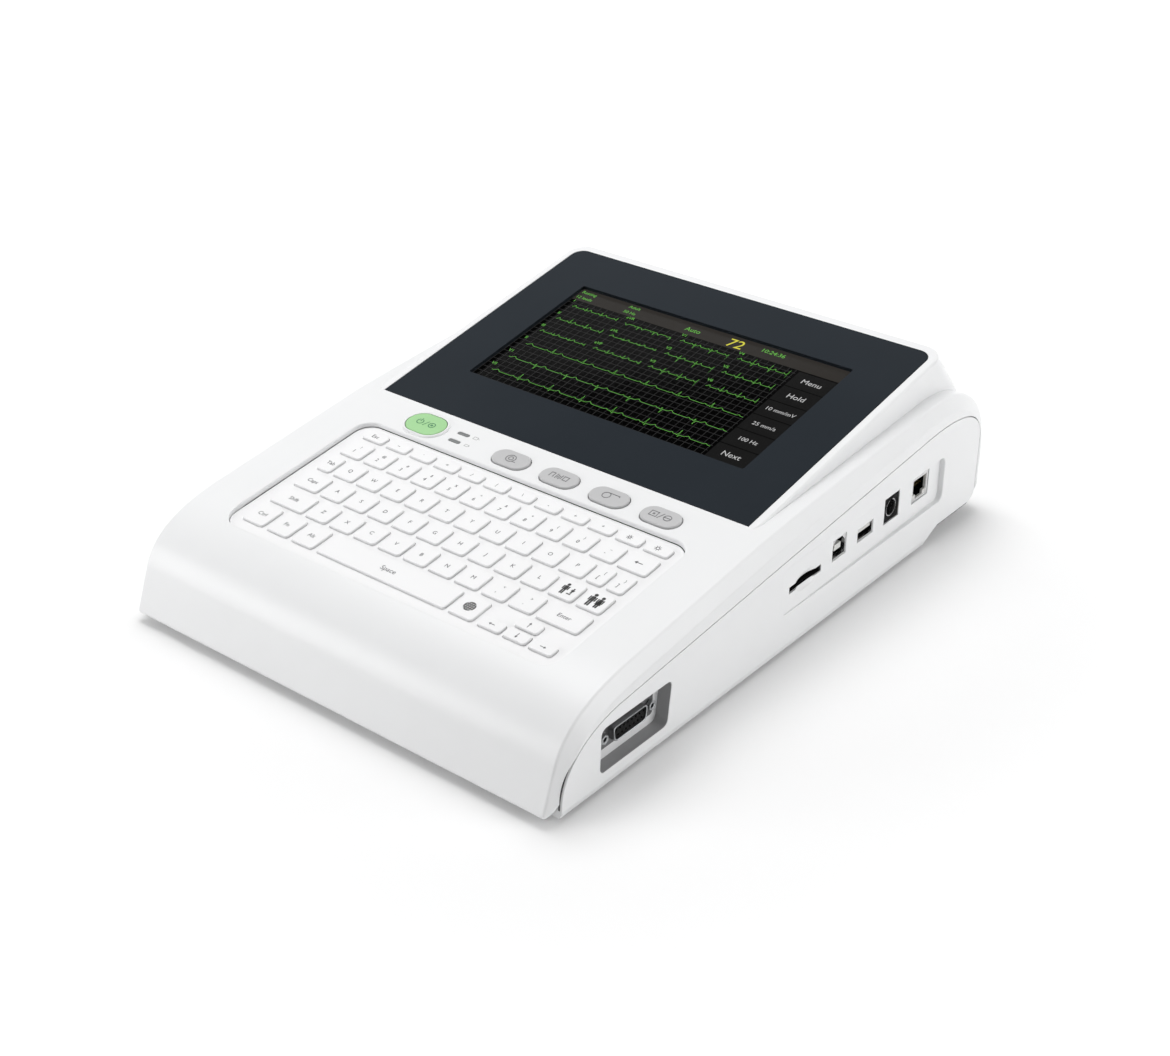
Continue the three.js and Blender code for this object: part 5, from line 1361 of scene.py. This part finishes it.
@dataclass
class LeadPort:
    """Patient lead connector: flange, D-shaped shell, insert and two hexagonal posts."""

    face: float = HALF - 6.7
    y: float = FRONT_Y + 58.9
    z: float = 22.7
    out: float = 3.9
    back: float = 9.0
    skin: float = 0.6

    @staticmethod
    def shell_points(grow: float) -> list[Point]:
        """Outline of the D-shaped shell in (y, z)."""
        lean = math.tan(math.radians(10)) * 4.0
        w, h = 11.9 + grow, 4.0 + grow
        corners = [(-w + lean, -h), (w - lean, -h), (w + lean / 4, h), (-w - lean / 4, h)]
        points: list[Point] = []
        for i, corner in enumerate(corners):
            at = Vector(corner)
            start = at + (Vector(corners[i - 1]) - at).normalized() * 2.2
            end = at + (Vector(corners[(i + 1) % 4]) - at).normalized() * 2.2
            for k in range(7):
                t = k / 6
                p = start * (1 - t) ** 2 + at * (2 * t * (1 - t)) + end * t ** 2
                points.append((p.x + FRONT_Y + 58.9, p.y + 22.7))
        return points

    def shell(self) -> None:
        """Builds the dark metal flange and shell; the faces of its rolled edge take a brighter steel as a
        painted highlight.
        """
        top = self.face + self.out
        flange = Bench.prism(rounded(39.1, 12.6, 2.2, self.y, self.z, 6), self.face, self.face + 0.8, ALONG_X)
        Bench.soften(flange, 0.15, 2)
        rings = [(self.shell_points(0.0), self.face - self.back), (self.shell_points(0.0), self.face + 0.7),
                 (self.shell_points(0.0), top - 0.22), (self.shell_points(-0.1), top - 0.04),
                 (self.shell_points(-0.22), top)]
        shell = Bench.stack(rings, ALONG_X)
        Bench.join(flange, shell)
        inner = [(self.shell_points(-self.skin), self.face - self.back - 1),
                 (self.shell_points(-self.skin), top - 0.15), (self.shell_points(-0.42), top + 0.01),
                 (self.shell_points(-0.42), top + 1)]
        Bench.cut(flange, Bench.stack(inner, ALONG_X))
        for side in (-1, 1):
            place = Matrix.Translation((0, self.y + side * 16.65, self.z)) @ ALONG_X
            Bench.cut(flange, Bench.rod(1.25, 0.0, HALF, place))
        flange.data.materials.append(Finish.SMOKED.make())
        flange.data.materials.append(Finish.STEEL.make())
        # Painted highlight: the faces of the rolled lip take a brighter steel than the rest of the shell
        for face in flange.data.polygons:
            face.material_index = int(face.center.x > top - 0.25)
        Bench.done(flange, "lead_shell", Finish.SMOKED, *METAL, ["ecg_connector_shell"], angle=40)

    def insert(self) -> None:
        """Builds the black insert with fifteen holes and their gold contacts."""
        top = self.face + self.out - self.skin
        grown = -self.skin - 0.3
        rings = [(self.shell_points(grown), self.face - self.back), (self.shell_points(grown), top - 0.2),
                 (self.shell_points(grown - 0.2), top)]
        insert = Bench.stack(rings, ALONG_X)
        spots = [(self.y + (i - 3.5) * 2.76, self.z + 1.42) for i in range(8)]
        spots += [(self.y + (i - 3) * 2.76, self.z - 1.42) for i in range(7)]
        holes, contacts = [], []
        for y, z in spots:
            place = Matrix.Translation((0, y, z)) @ ALONG_X
            holes.append(Bench.rod(0.62, top - 4.0, top + 1.0, place, 16))
            contacts.append(Bench.cut(Bench.rod(0.56, top - 3.9, top - 1.2, place, 16),
                                      Bench.rod(0.38, top - 3.0, top, place, 16)))
        Bench.cut(insert, Bench.merge(*holes))
        Bench.done(insert, "lead_insert", Finish.BLACK, *INSERT, ["ecg_connector_insert"])
        Bench.done(Bench.merge(*contacts), "lead_contacts", Finish.GOLD, *INSERT)

    def post(self, name: str, y: float) -> None:
        """Builds one hexagonal post with a plain bore that opens at its mouth, and a near-black disc deep in
        the bore as painted shade.
        """
        base = self.face + 0.8 + 0.3
        place = Matrix.Translation((0, y, self.z)) @ ALONG_X
        post = Bench.rod(2.5, base, base + 1.9, place, 6)
        Bench.soften(post, 0.18, 2)
        steps = ((1.25, 0.5), (1.25, 1.6), (1.55, 1.95), (1.55, 2.5))
        Bench.cut(post, Bench.stack([(rounded(2 * r, 2 * r, r, 0, 0, 6), base + z) for r, z in steps], place))
        post.data.materials.append(Finish.STEEL.make())
        # Painted shade: a near-black disc at the bottom of the bore
        dark = Bench.rod(1.2, base + 0.55, base + 0.7, place, 24)
        dark.data.materials.append(Finish.HOLLOW.make())
        Bench.done(Bench.merge(post, dark), f"{name}_post", Finish.STEEL, *METAL, [name])

    def build(self) -> None:
        """Builds the connector."""
        self.shell()
        self.insert()
        self.post("jackscrew_front", self.y - 16.65)
        self.post("jackscrew_rear", self.y + 16.65)


@dataclass
class SidePorts:
    """Network, external, USB and card sockets on the edge of the main board."""

    board_top: float = 30.7
    board_end: float = 128.85

    @staticmethod
    def openings() -> list[tuple[float, float, float, float]]:
        """Width, height and place of each socket face."""
        return [(16.2, 14.0, 117.4, 38.4), (14.0, 14.0, 88.4, 38.8), (14.3, 7.1, 62.9, 36.6),
                (12.1, 11.2, 38.3, 38.6), (27.6, 3.2, 7.8, 34.8)]

    @staticmethod
    def floor_x(y: float) -> float:
        """Where the bottom of the port pocket lies at y."""
        return HALF - 0.4 - 2.7 * (y + 13.0) / 150.0

    @staticmethod
    def scoop(deeper: float) -> Piece:
        """Cutter of the thumb scoop across the card slot."""
        y, z = SidePorts.openings()[4][2:]
        Bench.clear()
        bpy.ops.mesh.primitive_uv_sphere_add(
            segments=64, ring_count=32, radius=1.0, scale=(4.7, 12.3, 6.5),
            location=(SidePorts.floor_x(y) + 3.0 - deeper, y + 0.5, z))
        piece = bpy.context.object
        bpy.ops.object.transform_apply(location=True, rotation=True, scale=True)
        return piece

    def face(self, y: float, w: float) -> float:
        """Where the face of a socket lies, just below the pocket's floor."""
        return self.floor_x(y + w / 2) - 0.3

    def body(self, w: float, h: float, y: float, z: float, long: float, skin: float) -> Piece:
        """Socket body with its lower block on the board.

        Args:
            w: Width of the face.
            h: Height of the face.
            y: Middle along the side.
            z: Middle height.
            long: Length into the machine.
            skin: Width of the softened edges.

        Returns:
            The body.
        """
        face = self.face(y, w)
        body = Bench.prism(rounded(w, h, 0.15, y, z, 2), face - long, face, ALONG_X)
        Bench.soften(body, skin, 2)
        low = min(self.board_top + 0.3, z)
        foot = Bench.cube((face - long, y - w / 2, low), (self.board_end, y + w / 2, z))
        return Bench.join(body, foot)

    def mouth(self, points: Sequence[Point], y: float, w: float, deep: float) -> Piece:
        """Cutter of a socket's opening."""
        return Bench.prism(points, self.face(y, w) - deep, HALF, ALONG_X)

    def lan(self) -> None:
        """Builds the network socket: bright shell, pale liner, a dark well with its notch that is painted
        shade of the deep opening, and contacts.
        """
        w, h, y, z = self.openings()[0]
        face = self.face(y, w)
        shell = self.body(w, h, y, z, 21.0, 0.2)
        Bench.cut(shell, self.mouth(rounded(13.0, 11.4, 0.2, y, z - 0.3, 2), y, w, 13.2))
        Bench.done(shell, "lan_shell", Finish.NICKEL, *METAL, ["lan_socket"])
        liner = Bench.prism(rounded(12.96, 11.36, 0.2, y, z - 0.3, 2), face - 1.5, face - 0.25, ALONG_X)
        # Painted shade: the well behind the pale liner is near-black for the shade deep in the opening
        well = Bench.prism(rounded(12.96, 11.36, 0.2, y, z - 0.3, 2), face - 13.1, face - 1.55, ALONG_X)
        for block in (liner, well):
            Bench.cut(block, self.mouth(rounded(12.3, 8.5, 0.1, y, z + 0.85, 2), y, w, 12.6),
                      self.mouth(rounded(7.0, 3.4, 0.1, y, z - 3.9, 2), y, w, 12.6))
        Bench.done(liner, "lan_liner", Finish.TONGUE, *INSERT)
        Bench.done(well, "lan_well", Finish.HOLLOW, *INSERT)
        contacts = []
        for i in range(8):
            at = y + (i - 3.5) * 1.02
            tilt = Matrix.Translation((face - 6.0, at, z + 2.4)) @ Matrix.Rotation(math.radians(18), 4, "Y")
            contacts.append(Bench.cube((-4.5, -0.22, -0.1), (4.5, 0.22, 0.1), tilt))
        Bench.done(Bench.merge(*contacts), "lan_contacts", Finish.GOLD, *INSERT)

    def jack(self) -> None:
        """Builds the round external jack in its square black body."""
        w, h, y, z = self.openings()[1]
        face = self.face(y, w)
        body = self.body(w, h, y, z, 13.0, 0.25)
        Bench.cut(body, self.mouth(rounded(9.6, 9.6, 4.8, y, z, 10), y, w, 9.0))
        ring = Bench.prism(rounded(12.4, 12.4, 6.2, y, z, 12), face - 0.35, face + 1, ALONG_X)
        Bench.cut(ring, Bench.prism(rounded(11.4, 11.4, 5.7, y, z, 12), face - 2, face + 2, ALONG_X))
        Bench.cut(body, ring)
        Bench.done(body, "external_jack_body", Finish.BLACK, *INSERT, ["external_io_jack"])
        sleeve = Bench.prism(rounded(9.5, 9.5, 4.75, y, z, 10), face - 8.9, face - 0.15, ALONG_X)
        Bench.cut(sleeve, Bench.prism(rounded(8.7, 8.7, 4.35, y, z, 10), face - 8.4, face + 1, ALONG_X))
        Bench.cut(sleeve, Bench.cube((face - 9.5, y - 1.3, z + 3.0), (face + 1, y + 1.3, z + 6)))
        Bench.done(sleeve, "external_jack_sleeve", Finish.NICKEL, *INSERT)
        core = Bench.prism(rounded(8.6, 8.6, 4.3, y, z, 10), face - 8.8, face - 2.6, ALONG_X)
        pins = []
        for turn in (0.55, 1.6, 2.6, 3.7, 4.75, 5.7):
            place = Matrix.Translation((0, y + math.cos(turn) * 2.5, z + math.sin(turn) * 2.5)) @ ALONG_X
            pins.append(Bench.rod(0.45, face - 4.0, face - 2.0, place, 12))
        Bench.cut(core, Bench.merge(*pins))
        Bench.done(core, "external_jack_core", Finish.HOLLOW, *INSERT)

    def usb_a(self) -> None:
        """Builds the flat USB socket with its pale tongue."""
        w, h, y, z = self.openings()[2]
        face = self.face(y, w)
        shell = self.body(w, h, y, z, 17.0, 0.15)
        Bench.cut(shell, self.mouth(rounded(13.1, 5.9, 0.2, y, z, 2), y, w, 11.9))
        Bench.done(shell, "usb_a_shell", Finish.NICKEL, *METAL, ["usb_a_socket"])
        tongue = Bench.cube((face - 11.3, y - 5.6, z + 0.5), (face - 0.5, y + 5.6, z + 2.3))
        Bench.done(Bench.soften(tongue, 0.2, 2), "usb_a_tongue", Finish.TONGUE, *INSERT)
        # Painted shade: a near-black lining inside the metal shell stands in for the shade in the opening
        well = Bench.prism(rounded(13.06, 5.86, 0.2, y, z, 2), face - 11.85, face - 1.2, ALONG_X)
        Bench.cut(well, self.mouth(rounded(12.5, 5.3, 0.2, y, z, 2), y, w, 11.4))
        Bench.done(well, "usb_a_well", Finish.HOLLOW, *INSERT)
        contacts = [Bench.cube((face - 10.5, y + x - 0.5, z + 0.38), (face - 2.0, y + x + 0.5, z + 0.48))
                    for x in (-3.5, -1.0, 1.0, 3.5)]
        Bench.done(Bench.merge(*contacts), "usb_a_contacts", Finish.GOLD, *INSERT)

    def usb_b(self) -> None:
        """Builds the square USB socket with its sloped upper corners."""
        w, h, y, z = self.openings()[3]
        face = self.face(y, w)
        shell = self.body(w, h, y, z, 16.0, 0.2)
        a, b = 5.45, 5.0
        points = [(y - a, z - b), (y + a, z - b), (y + a, z + 2.0),
                  (y + a / 2, z + b), (y - a / 2, z + b), (y - a, z + 2.0)]
        Bench.cut(shell, self.mouth(points, y, w, 11.2))
        Bench.done(shell, "usb_b_shell", Finish.NICKEL, *METAL, ["usb_b_socket"])
        core = Bench.cube((face - 10.6, y - 3.0, z - 1.7), (face - 0.8, y + 3.0, z + 1.6))
        Bench.done(Bench.soften(core, 0.25, 2), "usb_b_core", Finish.TONGUE, *INSERT)
        inner = [(y + (py - y) * 0.995, z + (pz - z) * 0.995) for py, pz in points]
        less = [(y + (py - y) * 0.93, z + (pz - z) * 0.93) for py, pz in points]
        # Painted shade: a near-black lining inside the metal shell stands in for the shade in the opening
        well = Bench.prism(inner, face - 11.15, face - 2.0, ALONG_X)
        Bench.cut(well, self.mouth(less, y, w, 10.7))
        Bench.done(well, "usb_b_well", Finish.HOLLOW, *INSERT)

    def card(self) -> None:
        """Builds the memory card slot."""
        w, h, y, z = self.openings()[4]
        face = self.face(y, w)
        body = self.body(w, h, y, z, 26.0, 0.1)
        Bench.cut(body, self.scoop(0.3), self.mouth(rounded(24.8, 2.3, 0.3, y, z, 2), y, w, 20.8))
        Bench.done(body, "card_slot_body", Finish.BLACK, *INSERT, ["sd_card_slot"])

    def gap_shade_frames(self) -> None:
        """Builds dark frames in the gaps round the sockets, a painted shade of the gaps."""
        frames = []
        for w, h, y, z in self.openings():
            face = self.floor_x(y + w / 2)
            ring = Bench.prism(rounded(w + 0.56, h + 0.56, 0.2, y, z, 2), face - 1.6, face - 0.8, ALONG_X)
            hole = Bench.prism(rounded(w + 0.04, h + 0.04, 0.2, y, z, 2), face - 2, face, ALONG_X)
            frames.append(Bench.cut(ring, hole))
        Bench.done(Bench.merge(*frames), "socket_gap_shade", Finish.HOLLOW, *INSERT)

    def build(self) -> None:
        """Builds every side socket."""
        self.gap_shade_frames()
        self.lan()
        self.jack()
        self.usb_a()
        self.usb_b()
        self.card()


@dataclass
class RearPanel:
    """Mains inlet and grounding post on the rear wall."""

    x: float = -32.0
    z: float = 30.0
    ground_x: float = 14.0

    def inlet(self) -> None:
        """Builds the mains inlet with its three blades."""
        face = REAR_Y + 2.5
        steps = ((0.0, REAR_Y + 0.3), (0.0, face - 0.5), (0.15, face - 0.15), (0.5, face))
        plate = Bench.stack([(rounded(36.4 - 2 * g, 29.0 - 2 * g, 4.4 - g, -self.x, self.z, 6), y)
                             for g, y in steps], ALONG_Y)
        inside = Bench.cube((self.x - 13.8, REAR_Y - 24.0, self.z - 10.1),
                            (self.x + 13.8, face - 1.1, self.z + 10.1))
        Bench.join(plate, inside)
        w, h, c = 12.3, 8.3, 4.5
        outline = [(-w, -h), (w, -h), (w, h - c), (w - c, h), (-w + c, h), (-w, h - c)]
        points = [(-self.x + x, self.z + z) for x, z in outline]
        Bench.cut(plate, Bench.prism(points, face - 15.0, face + 1.0, ALONG_Y))
        Bench.done(plate, "mains_inlet_body", Finish.BLACK, *INSERT, ["mains_inlet"])
        blades = []
        for x, z in ((-7.0, -2.0), (7.0, -2.0), (0.0, 2.0)):
            blade = Bench.cube((self.x + x - 1.0, face - 15.2, self.z + z - 2.0),
                               (self.x + x + 1.0, face - 3.5, self.z + z + 2.0))
            blades.append(Bench.soften(blade, 0.4, 2))
        Bench.done(Bench.merge(*blades), "mains_blades", Finish.NICKEL, *INSERT)

    def ground(self) -> None:
        """Builds the grounding post: grooved stud, and a nut on either side of the wall."""
        place = Matrix.Translation((self.ground_x, 0, self.z)) @ ALONG_Y
        low, top, turns = REAR_Y - 6.1, REAR_Y + 12.0, 36
        radii = [(2.9, low)]
        for i in range(turns + 1):
            y = REAR_Y + 3.6 + (top - 0.6 - REAR_Y - 3.6) * i / turns
            radii.append((2.98 if i % 4 in (1, 2) else 2.66, y))
        radii.append((2.3, top))
        stud = Bench.stack([(rounded(2 * r, 2 * r, r, 0, 0, 6), y) for r, y in radii], place)
        nut = Bench.soften(Bench.rod(5.5, REAR_Y + 0.3, REAR_Y + 3.3, place, 6), 0.35, 2)
        inner = Bench.rod(5.5, REAR_Y - 5.8, REAR_Y - 2.8, place, 6)
        Bench.done(Bench.merge(stud, nut, inner), "grounding_stud", Finish.STEEL, "housing", "steel",
                   ["grounding_post"])

    def build(self) -> None:
        """Builds the rear connections."""
        self.inlet()
        self.ground()


@dataclass
class Recorder:
    """Chart recorder on the left side: door, latch, paper, platen and print head."""

    def door(self) -> None:
        """Builds the hinged door with its barrel, hinge pin and grip grooves."""
        points = rounded(122.0, 36.5, 3.0, 65.0, 31.75, 6)
        small = rounded(121.4, 35.9, 2.7, 65.0, 31.75, 6)
        less = rounded(121.8, 36.3, 2.9, 65.0, 31.75, 6)
        rings = [(small, -HALF), (less, -HALF + 0.1), (points, -HALF + 0.35), (points, -HALF + 2.5)]
        door = Bench.stack(rings, ALONG_X)
        foot = Bench.cube((-HALF, 4.0, 13.5), (-HALF + 2.5, 126.0, 19.5))
        barrel = Bench.rod(2.8, 4.0, 126.0, HINGE, 36)
        pin = Bench.rod(1.5, 1.0, 129.0, HINGE, 24)
        Bench.join(door, foot, barrel, pin)
        for i in range(3):
            z = 44.4 - i * 2.2
            groove = Bench.prism(rounded(34.0, 0.9, 0.45, 63.0, z, 4), -HALF - 1, -HALF + 0.4, ALONG_X)
            Bench.cut(door, groove)
        Bench.done(door, "recorder_door_panel", Finish.HOUSING, "recorder_door", "housing_white",
                   ["recorder_door"], angle=35)

    def latch(self) -> None:
        """Builds the release button above the door."""
        # Width, height, corner and depth below the side face, from the face inwards
        steps = ((13.2, 3.8, 1.9, 0.0), (13.7, 4.3, 2.15, 0.1), (14.0, 4.6, 2.3, 0.4), (14.0, 4.6, 2.3, 2.75),
                 (16.4, 7.0, 3.5, 2.8), (16.4, 7.0, 3.5, 3.8))
        rings = [(rounded(w, h, r, *LATCH, 8), -HALF + deep) for w, h, r, deep in steps]
        button = Bench.stack(rings, ALONG_X)
        Bench.done(button, "release_button", Finish.GREY, "recorder_release_button", "button_grey",
                   ["recorder_release_button"], angle=40)

    def works(self) -> None:
        """Builds the paper roll and the platen, and dresses the cradle and drive."""
        line = Matrix.Translation((-99.25, 0, 26.0)) @ ALONG_Y
        roll = Bench.rod(16.0, 8.0, 120.0, line, 96)
        Bench.soften(roll, 0.2, 2)
        Bench.cut(roll, Bench.rod(6.0, 7.0, 121.0, line, 48))
        Bench.done(roll, "paper_roll_wound", Finish.PAPER, "paper_roll", "paper", ["paper_roll"], angle=40)
        line = Matrix.Translation((-121.05, 0, 44.8)) @ ALONG_Y
        rubber = Bench.soften(Bench.rod(6.0, 8.0, 120.0, line, 64), 0.3, 2)
        Bench.done(rubber, "platen_rubber", Finish.RUBBER, "platen_roller", "roller_rubber", angle=40)
        for node, finish in (("platen_roller", Finish.GEAR), ("drive_pinion", Finish.GEAR),
                             ("recorder_frame", Finish.FRAME), ("print_head", Finish.BLACK),
                             ("recorder_motor", Finish.STEEL)):
            Bench.dress(node, finish)

    def build(self) -> None:
        """Builds the recorder."""
        self.door()
        self.latch()
        self.works()


@dataclass
class Innards:
    """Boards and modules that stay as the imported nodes."""

    def build(self) -> None:
        """Dresses the boards, the modules, the battery and the speaker."""
        for node in ("front_panel_board", "main_board", "power_supply_board"):
            Bench.dress(node, Finish.BOARD)
        for node, finish in (("ecg_module", Finish.CAN), ("battery_pack", Finish.CELL),
                             ("speaker", Finish.BLACK)):
            Bench.dress(node, finish)


@dataclass
class Studio:
    """Pale floor, soft lights, a black flag and the camera of the photograph."""

    azimuth: float = math.radians(39.096)
    elevation: float = math.radians(29.477)
    place: tuple[float, float, float] = (0.54736, -0.674334, 0.50673)
    # The room's light at its darkest and brightest, and the side that it comes from
    dim_light: float = 0.08
    soft_light: float = 0.42
    bright_side: tuple[float, float, float] = (-0.35, 0.1, 0.93)
    # Corners of the flag that keeps the lower right of the screen black
    flag_corners: tuple[tuple[float, float, float], ...] = (
        (-0.8142, 0.573, 0.8346), (-0.4803, 0.8054, 0.8912), (-0.05, 0.72, 1.02), (-0.55, 0.20, 1.15))

    def seen(self, tree: bpy.types.NodeTree) -> bpy.types.NodeSocket:
        """Says whether a ray comes from the camera, a gloss or a glass."""
        path = tree.nodes.new("ShaderNodeLightPath")
        total = path.outputs["Is Camera Ray"]
        for kind in ("Is Glossy Ray", "Is Transmission Ray"):
            add = tree.nodes.new("ShaderNodeMath")
            add.operation = "ADD"
            add.use_clamp = True
            tree.links.new(total, add.inputs[0])
            tree.links.new(path.outputs[kind], add.inputs[1])
            total = add.outputs[0]
        return total

    def world(self) -> None:
        """Gives the eye a white background and the machine a soft light."""
        world = bpy.data.worlds.new("studio")
        bpy.context.scene.world = world
        world.use_nodes = True
        nodes, links = world.node_tree.nodes, world.node_tree.links
        light = nodes["Background"]
        light.inputs["Color"].default_value = (1.0, 1.0, 1.0, 1.0)
        towards = nodes.new("ShaderNodeTexCoord")
        facing = nodes.new("ShaderNodeVectorMath")
        facing.operation = "DOT_PRODUCT"
        facing.inputs[1].default_value = self.bright_side
        links.new(towards.outputs["Generated"], facing.inputs[0])
        strength = nodes.new("ShaderNodeMapRange")
        Shading.put(strength, From_Min=-0.7, From_Max=0.6, To_Min=self.dim_light, To_Max=self.soft_light)
        links.new(facing.outputs["Value"], strength.inputs["Value"])
        links.new(strength.outputs["Result"], light.inputs["Strength"])
        white = nodes.new("ShaderNodeBackground")
        Shading.put(white, Color=(1.0, 1.0, 1.0, 1.0), Strength=1.0)
        mix = nodes.new("ShaderNodeMixShader")
        links.new(self.seen(world.node_tree), mix.inputs["Fac"])
        links.new(light.outputs["Background"], mix.inputs[1])
        links.new(white.outputs["Background"], mix.inputs[2])
        links.new(mix.outputs["Shader"], nodes["World Output"].inputs["Surface"])

    def lamp(
        self, name: str, place: Sequence[float], aim: Sequence[float], size: Point, power: float
    ) -> None:
        """Adds a rectangular area light.

        Args:
            name: Name.
            place: Position in metres.
            aim: The point it faces.
            size: Width and height in metres.
            power: Power in watts.
        """
        Bench.clear()
        bpy.ops.object.light_add(type="AREA", location=place)
        lamp = bpy.context.object
        lamp.name = name
        lamp.data.shape = "RECTANGLE"
        lamp.data.size, lamp.data.size_y = size
        lamp.data.energy = power
        lamp.rotation_euler = (Vector(place) - Vector(aim)).to_track_quat("Z", "Y").to_euler()

    def floor(self) -> None:
        """Adds the pale floor, which turns to plain white away from the machine and its shadow."""
        Bench.clear()
        bpy.ops.mesh.primitive_plane_add(size=8.0, location=(0, 0, 0))
        floor = bpy.context.object
        floor.name = "floor"
        material, nodes, links, shader = Shading.start("floor")
        Shading.put(shader, Base_Color=(0.93, 0.93, 0.93, 1.0), Roughness=0.9, Specular_IOR_Level=0.0)
        place = nodes.new("ShaderNodeTexCoord")
        away = nodes.new("ShaderNodeVectorMath")
        away.operation = "LENGTH"
        links.new(place.outputs["Object"], away.inputs[0])
        rise = nodes.new("ShaderNodeMapRange")
        rise.interpolation_type = "SMOOTHSTEP"
        Shading.put(rise, From_Min=0.22, From_Max=0.75, To_Max=0.7)
        links.new(away.outputs["Value"], rise.inputs["Value"])
        lift = nodes.new("ShaderNodeEmission")
        links.new(rise.outputs["Result"], lift.inputs["Strength"])
        both = nodes.new("ShaderNodeAddShader")
        links.new(shader.outputs["BSDF"], both.inputs[0])
        links.new(lift.outputs["Emission"], both.inputs[1])
        mix = nodes.new("ShaderNodeMixShader")
        links.new(self.seen(material.node_tree), mix.inputs["Fac"])
        links.new(shader.outputs["BSDF"], mix.inputs[1])
        links.new(both.outputs["Shader"], mix.inputs[2])
        links.new(mix.outputs["Shader"], nodes["Material Output"].inputs["Surface"])
        floor.data.materials.append(material)

    def flag(self) -> None:
        """Adds a black flag that only reflections see."""
        Bench.clear()
        bpy.ops.mesh.primitive_plane_add(size=2.0)
        flag = bpy.context.object
        flag.name = "flag"
        order = {(-1, -1): 0, (1, -1): 1, (1, 1): 2, (-1, 1): 3}
        for v in flag.data.vertices:
            v.co = self.flag_corners[order[(round(v.co.x), round(v.co.y))]]
        material, _, _, shader = Shading.start("flag_black")
        Shading.put(shader, Base_Color=(0.0, 0.0, 0.0, 1.0), Roughness=1.0, Specular_IOR_Level=0.0)
        flag.data.materials.append(material)
        for kind in ("camera", "diffuse", "transmission", "shadow"):
            setattr(flag, f"visible_{kind}", False)

    def camera(self) -> None:
        """Sets the camera at the photograph's angle."""
        Bench.clear()
        bpy.ops.object.camera_add(location=self.place)
        camera = bpy.context.object
        camera.data.sensor_width = 36.0
        camera.data.lens = 59.17
        level = math.cos(self.elevation)
        back = Vector((math.sin(self.azimuth) * level, -math.cos(self.azimuth) * level,
                       math.sin(self.elevation)))
        camera.rotation_euler = back.to_track_quat("Z", "Y").to_euler()
        bpy.context.scene.camera = camera

    def build(self) -> None:
        """Builds the studio."""
        bpy.context.scene.view_settings.view_transform = "Standard"
        self.world()
        self.floor()
        self.flag()
        self.lamp("overhead", (-0.35, 0.3, 1.4), (0, 0, 0.05), (1.1, 1.1), 14.5)
        self.lamp("side", (1.35, 0.45, 0.4), (0.1, 0.1, 0.05), (0.8, 0.8), 8.0)
        self.lamp("front", (-0.95, -1.2, 0.42), (-0.05, -0.1, 0.05), (0.7, 0.7), 8.5)
        self.camera()


def main() -> None:
    """Builds the whole machine and its studio."""
    logging.basicConfig(level=logging.WARNING)
    for unit in (Studio(), HousingShells(), KeyField(), ButtonRow(), ScreenUnit(), LeadPort(), SidePorts(),
                 RearPanel(), Recorder(), Innards()):
        unit.build()
        LOG.info("%s built", type(unit).__name__)


if __name__ == "__main__":
    main()
